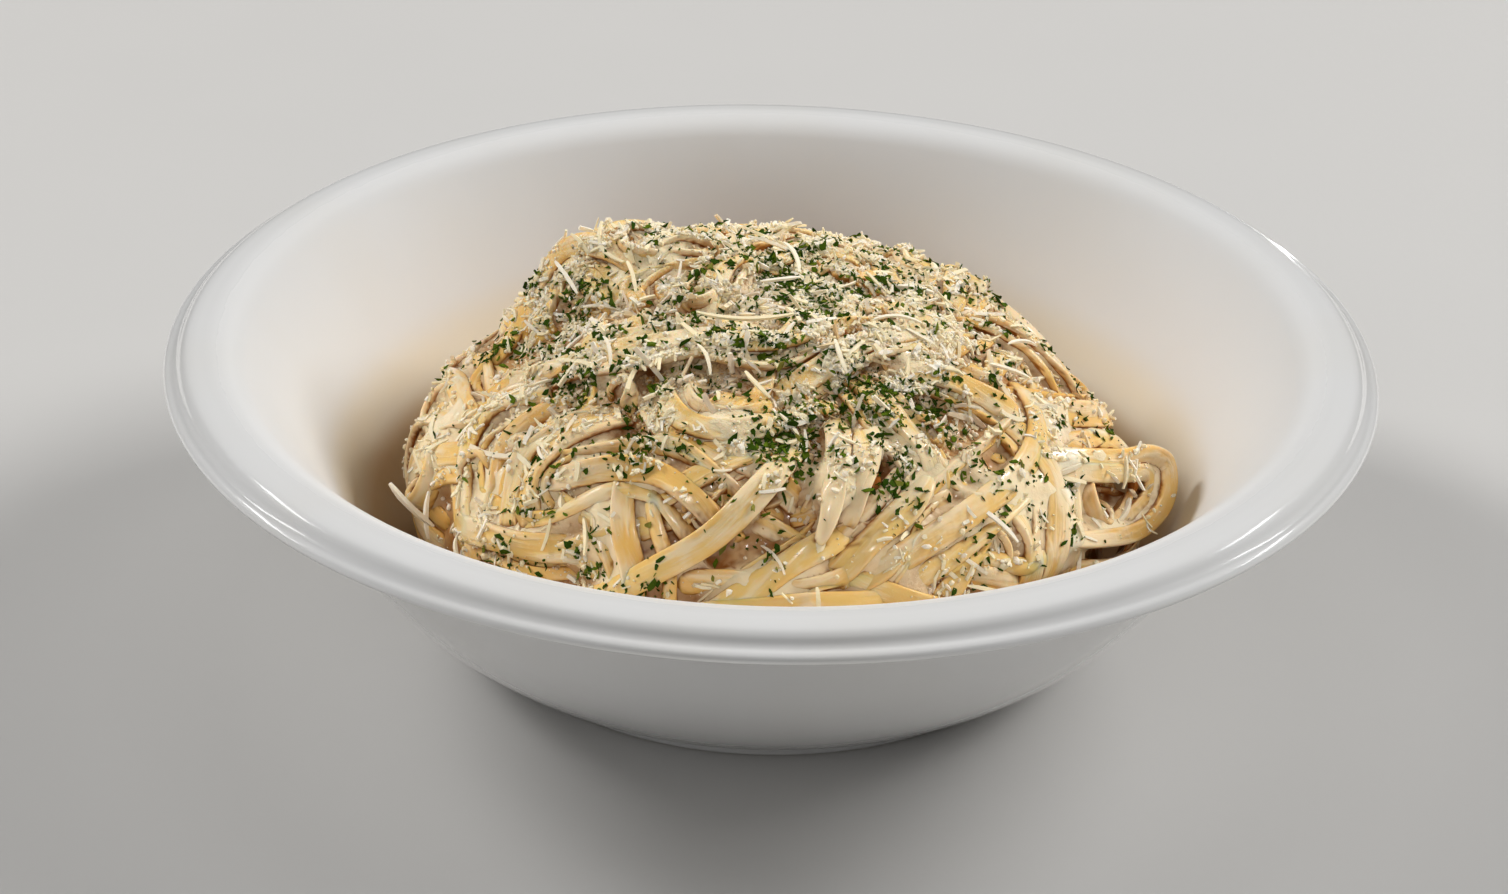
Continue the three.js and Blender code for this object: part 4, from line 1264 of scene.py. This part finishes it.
class FETTUCCINE_OT_cheese(bpy.types.Operator):
    """Scatter shreds, crumbs and fine grains of grated cheese"""

    bl_idname = "fettuccine.cheese"
    bl_label = "Cheese"

    def execute(self, context):
        settings = context.scene.fettuccine_toppings
        ground = Ground(HEAP_PIECES)
        crumb = model(bpy.ops.mesh.primitive_ico_sphere_add, subdivisions=1, radius=1)
        grain = model(bpy.ops.mesh.primitive_cylinder_add, vertices=3, radius=1, depth=1.4)
        pieces = [
            self.laid(),
            *(self.strips(name, ground, getattr(settings, name), **how) for name, how in STRIPS.items()),
            grains_of("crumbs", crumb, ground, settings.crumbs),
            grains_of("grains", grain, ground, settings.grains),
        ]
        finish = grated_cheese(settings.cheese)
        for piece in pieces:
            finished(piece, finish, "cheese", "fettuccine")
        return {"FINISHED"}

    @staticmethod
    def strip_shape(cuts):
        """A square strip 2 long, cut across at the given places so that it can bend."""

        def add():
            bpy.ops.mesh.primitive_cube_add(size=2)
            bpy.ops.object.mode_set(mode="EDIT")
            for place in cuts:
                bpy.ops.mesh.select_all(action="SELECT")
                bpy.ops.mesh.bisect(plane_co=(place, 0, 0), plane_no=(1, 0, 0))
            bpy.ops.object.mode_set(mode="OBJECT")

        return model(add)

    @classmethod
    def strips(cls, name, ground, count, cuts, seed, run, wide, curl, tilt):
        """Strips off a grater: bent, tapered and lying every way."""
        draws = np.random.default_rng(seed)
        shape = cls.strip_shape(cuts)
        points, normals = fallen(ground, count, draws, STRIP_EVERYWHERE)
        count = len(points)
        one_each = (count, 1)
        axes = spun(normals, draws, tilt)
        run = between(run, draws.random(count) ** STRIP_SKEW)[:, None]
        wide = between(wide, draws.random(count))[:, None]
        high = wide * between(STRIP_HIGH, draws.random(one_each))
        bend = draws.normal(scale=curl, size=one_each) * run
        bow = between(STRIP_BOW, draws.random(one_each)) * run
        x, y, z = coordinates(shape).T[:, None]
        taper = 1 - between(STRIP_TAPER, draws.random(one_each)) * x**2
        wobble = draws.normal(scale=STRIP_WOBBLE, size=(count, x.size))
        sideways = y * wide / 2 * (taper + wobble) + bend * x**2
        proud = np.where(draws.random(one_each) < PROUD_SHARE, draws.random(one_each), 0)
        proud = proud * np.minimum(run * PROUD_RUN, PROUD_MOST)
        height = z * high / 2 * (taper + wobble) - bow * x**2 + STRIP_RISE * high + np.clip(x, 0, 1) * proud
        placed = points[:, None] + MM * laid_out((x * run / 2, sideways, height), axes)
        seen = ground.openness(points, normals)
        return scattered("cheese_" + name, shape, placed, draws.random(count), seen)

    @classmethod
    def laid(cls):
        """Long shreds laid one by one, each bowed between its ends."""
        draws = np.random.default_rng(LONG_SEED)
        shape = cls.strip_shape(LONG_CUTS)
        x, y, z = coordinates(shape).T[:, :, None]
        strips = []
        for first, last, bow, wide in LONG_SHREDS:
            azimuth, elevation, lift = np.array([first, last], float).T
            ends = heap_point(azimuth, elevation, lift)
            along = ends[1] - ends[0]
            aside = unit(np.cross(heap_normal(azimuth, elevation).mean(0), along))
            up = unit(np.cross(along, aside))
            bent = (1 - x**2) * (bow * aside + LONG_ARCH * up)
            taper = 1 - LONG_TAPER * x**4 + draws.normal(scale=LONG_WOBBLE, size=x.shape)
            sides = wide / 2 * taper * (y * aside + LONG_HIGH * z * up)
            strips.append(ends.mean(0) + x * along / 2 + bent + sides)
        return scattered("cheese_long_shreds", shape, np.array(strips) * MM, draws.random(len(strips)))


class FETTUCCINE_OT_parsley(bpy.types.Operator):
    """Sprinkle chopped parsley, in drifts and loose"""

    bl_idname = "fettuccine.parsley"
    bl_label = "Parsley"

    def execute(self, context):
        settings = context.scene.fettuccine_toppings
        draws = np.random.default_rng(PARSLEY_SEED)
        ground = Ground([*HEAP_PIECES, "cheese_crumbs", "cheese_slivers"])
        azimuth, elevation = self.loose(settings.flakes, draws)
        for a, e, spread, count in PARSLEY_DRIFTS:
            count = round(count * DRIFT_FLAKES)
            radius = spread * np.sqrt(-np.log(1 - draws.random(count)))
            drift = unit(self.beside(a, e, radius, draws.random(count) * 2 * math.pi))
            drift_azimuth, drift_elevation, _ = angles(drift + HEAP_CENTRE)
            azimuth = np.append(azimuth, drift_azimuth)
            elevation = np.append(elevation, drift_elevation)
        points, normals = ground.meet(azimuth, elevation)
        shape = model(bpy.ops.mesh.primitive_cylinder_add, vertices=LEAF_CORNERS, radius=1, depth=1)
        count = len(points)
        axes = spun(normals, draws, LEAF_TILT)
        size = between(LEAF_SIZES, draws.random(count) ** LEAF_SKEW)[:, None] * MM
        corners = (count, LEAF_CORNERS)
        notched = np.clip(1 + draws.normal(scale=LEAF_NOTCH, size=corners), *LEAF_REACH)
        reach = np.repeat(notched, 2, axis=1)
        x, y, z = coordinates(shape).T[:, None]
        x = x * reach * size / 2
        y = y * reach * size / 2 * between(LEAF_NARROW, draws.random((count, 1)))
        curl = draws.normal(scale=LEAF_CURL, size=(count, 1)) * (x**2 - y**2) / size
        crumple = np.repeat(draws.normal(scale=LEAF_CRUMPLE, size=corners), 2, axis=1) * size
        z = z * LEAF_THICK * MM + curl + crumple
        middle = points + normals * (LEAF_GAP * MM + size * LEAF_RISE)
        placed = middle[:, None] + laid_out((x, y, z), axes)
        piece = scattered("parsley_flakes", shape, placed, draws.random(count))
        finished(piece, parsley(settings.leaf, settings.leaf_light), "parsley", "fettuccine")
        return {"FINISHED"}

    @staticmethod
    def loose(flakes, draws):
        """Directions of flakes outside the drifts, most of them in small clusters round one of their own."""
        azimuth, elevation = over_the_heap(flakes * 2, draws)
        kept = draws.random(len(azimuth)) < np.maximum(ramp(elevation, LOOSE_FROM, LOOSE_FULL), LEAST_LOOSE)
        azimuth, elevation = azimuth[kept][:flakes], elevation[kept][:flakes]
        count = len(azimuth)
        clustered = draws.random(count) < CLUSTERED
        lead = np.where(clustered, draws.integers(0, count // CLUSTER_FLAKES, count), -1)
        strayed = draws.normal(scale=CLUSTER_SPREAD, size=(2, count))
        level = np.maximum(np.cos(np.radians(elevation[lead])), 0.2)
        azimuth = np.where(lead < 0, azimuth, azimuth[lead] + strayed[0] / level)
        elevation = np.where(lead < 0, elevation, np.minimum(elevation[lead] + strayed[1], TOP_ELEVATION))
        return azimuth, elevation

    @staticmethod
    def beside(azimuth, elevation, radius, turn):
        """Directions a few degrees from a place, one for each radius and turn."""
        middle = direction(azimuth, elevation)
        east = unit(np.cross([0, 0, 1.0], middle))
        north = np.cross(middle, east)
        reach = np.tan(np.radians(radius))[:, None]
        return middle + reach * (np.cos(turn)[:, None] * east + np.sin(turn)[:, None] * north)


# ---- Stage ----

IMAGE_WIDTH = 1508
FOCAL_PIXELS = 3200
SENSOR = 36.0
AIM_PIXELS = (14.8, 144.6)
ROLL = 1.6

LIGHT_DISTANCE = 4.8
LIGHT_AIM = (0, 0, 0.05)
FLOOR_SIZE = 14
AIR_COLOUR, AIR_STRENGTH = (1.0, 0.99, 0.97, 1), 0.07
WHITE, SUNLIT = (1.0, 1.0, 1.0), (1.0, 0.995, 0.985)

# Soft lights: azimuth, elevation, width and height in metres, watts, colour.
LIGHTS = {
    "softbox_left": (158, 36, 1.4, 1.4, 146, SUNLIT),
    "softbox_right": (22, 35, 2.4, 1.8, 194, SUNLIT),
    "softbox_front": (-105, 36, 3.2, 2.0, 37, WHITE),
    "softbox_top": (90, 70, 2.0, 1.4, 12, WHITE),
    "glint_left": (148, 44, 0.5, 0.5, 5, WHITE),
    "glint_right": (32, 44, 0.55, 0.55, 27, WHITE),
    "glint_front": (-90, 66, 0.5, 0.5, 22, WHITE),
    "streak_left": (147, 41, 1.9, 0.26, 11, WHITE),
    "streak_right": (33, 41, 1.9, 0.24, 11, WHITE),
    "window": (72, 7, 0.03, 1.0, 2, WHITE),
}
# Lights whose mirror image stays out of the glaze.
MATTE_LIGHTS = {"softbox_left", "softbox_right", "softbox_front", "softbox_top"}
# Lights flagged off the bowl and the floor, which only pick out the wet noodles.
FOOD_LIGHTS = {"glint_left", "glint_right", "glint_front"}


def turned(vector, axis, angle):
    along = axis * axis.dot(vector) * (1 - math.cos(angle))
    return vector * math.cos(angle) + axis.cross(vector) * math.sin(angle) + along


class FETTUCCINE_OT_stage(bpy.types.Operator):
    """Set the pale floor, the soft lights and the camera"""

    bl_idname = "fettuccine.stage"
    bl_label = "Stage"

    def execute(self, context):
        settings = context.scene.fettuccine_stage
        deselect()
        bpy.ops.mesh.primitive_plane_add(size=FLOOR_SIZE, location=(0, 0, 0))
        floor = context.active_object
        floor.name = floor.data.name = "studio_floor"
        floor.data.materials.append(studio_floor(settings.floor))
        flagged = self.flagged("porcelain_bowl", "studio_floor")
        for name, (azimuth, elevation, width, height, watts, colour) in LIGHTS.items():
            place = Vector(direction(azimuth, elevation)) * LIGHT_DISTANCE
            lamp = self.light(name, place, (width, height), watts, colour)
            if name in FOOD_LIGHTS:
                lamp.light_linking.receiver_collection = flagged
        self.world(context.scene)
        self.camera(context.scene, settings)
        return {"FINISHED"}

    @staticmethod
    def flagged(*names):
        """The things that the food's own lights leave out."""
        group = bpy.data.collections.new("flagged")
        for name in names:
            group.objects.link(bpy.data.objects[name])
        for entry in group.collection_objects:
            entry.light_linking.link_state = "EXCLUDE"
        return group

    @staticmethod
    def light(name, place, size, watts, colour):
        bpy.ops.object.light_add(type="AREA", location=place)
        lamp = bpy.context.active_object
        lamp.name = name
        lamp.data.shape = "RECTANGLE"
        lamp.data.size, lamp.data.size_y = size
        lamp.data.energy = watts
        lamp.data.color = colour
        aim = Vector(LIGHT_AIM) - place
        lamp.rotation_euler = aim.to_track_quat("-Z", "Y").to_euler()
        lamp.visible_glossy = name not in MATTE_LIGHTS
        return lamp

    @staticmethod
    def world(scene):
        world = bpy.data.worlds.new("studio_air")
        world.use_nodes = True
        air = world.node_tree.nodes["Background"]
        air.inputs["Color"].default_value = AIR_COLOUR
        air.inputs["Strength"].default_value = AIR_STRENGTH
        scene.world = world
        scene.view_settings.view_transform = "Standard"

    @staticmethod
    def camera(scene, settings):
        """A long lens looking down on the bowl, panned to frame it and rolled slightly."""
        ahead = Vector((0, math.cos(settings.elevation), -math.sin(settings.elevation)))
        right = Vector((1, 0, 0))
        up = right.cross(ahead)
        place = -ahead * settings.distance
        pan, tip = (math.atan(pixels / FOCAL_PIXELS) for pixels in AIM_PIXELS)
        ahead, right = turned(ahead, up, pan), turned(right, up, pan)
        ahead, up = turned(ahead, right, tip), turned(up, right, tip)
        roll = math.radians(ROLL)
        right, up = (
            right * math.cos(roll) + up * math.sin(roll),
            up * math.cos(roll) - right * math.sin(roll),
        )
        bpy.ops.object.camera_add(location=place)
        camera = bpy.context.active_object
        camera.name = "camera"
        camera.data.sensor_width = SENSOR
        camera.data.lens = FOCAL_PIXELS / IMAGE_WIDTH * SENSOR
        turn = Matrix((right, up, -ahead)).transposed()
        camera.matrix_world = Matrix.Translation(place) @ turn.to_4x4()
        scene.camera = camera


class FETTUCCINE_PT_panel(bpy.types.Panel):
    """Sizes, colours and steps of the dish"""

    bl_label = "Fettuccine"
    bl_idname = "FETTUCCINE_PT_panel"
    bl_space_type = "VIEW_3D"
    bl_region_type = "UI"
    bl_category = "Fettuccine"

    def draw(self, context):
        for name, group in SETTINGS.items():
            box = self.layout.box()
            for key in group.__annotations__:
                box.prop(getattr(context.scene, name), key)
        for step in STEPS:
            self.layout.operator(step.bl_idname)


SETTINGS = {
    "fettuccine_bowl": BowlSettings,
    "fettuccine_noodles": NoodleSettings,
    "fettuccine_sauce": SauceSettings,
    "fettuccine_toppings": ToppingSettings,
    "fettuccine_stage": StageSettings,
}
STEPS = [
    FETTUCCINE_OT_bowl,
    FETTUCCINE_OT_noodles,
    FETTUCCINE_OT_sauce,
    FETTUCCINE_OT_cheese,
    FETTUCCINE_OT_parsley,
    FETTUCCINE_OT_stage,
]


def register():
    for group in (*SETTINGS.values(), *STEPS, FETTUCCINE_PT_panel):
        bpy.utils.register_class(group)
    for name, group in SETTINGS.items():
        setattr(bpy.types.Scene, name, PointerProperty(type=group))


def unregister():
    for name in SETTINGS:
        delattr(bpy.types.Scene, name)
    for group in (FETTUCCINE_PT_panel, *reversed(STEPS), *SETTINGS.values()):
        bpy.utils.unregister_class(group)


def main():
    register()
    bpy.ops.fettuccine.bowl()
    bpy.ops.fettuccine.noodles()
    bpy.ops.fettuccine.sauce()
    bpy.ops.fettuccine.cheese()
    bpy.ops.fettuccine.parsley()
    bpy.ops.fettuccine.stage()


if __name__ == "__main__":
    main()
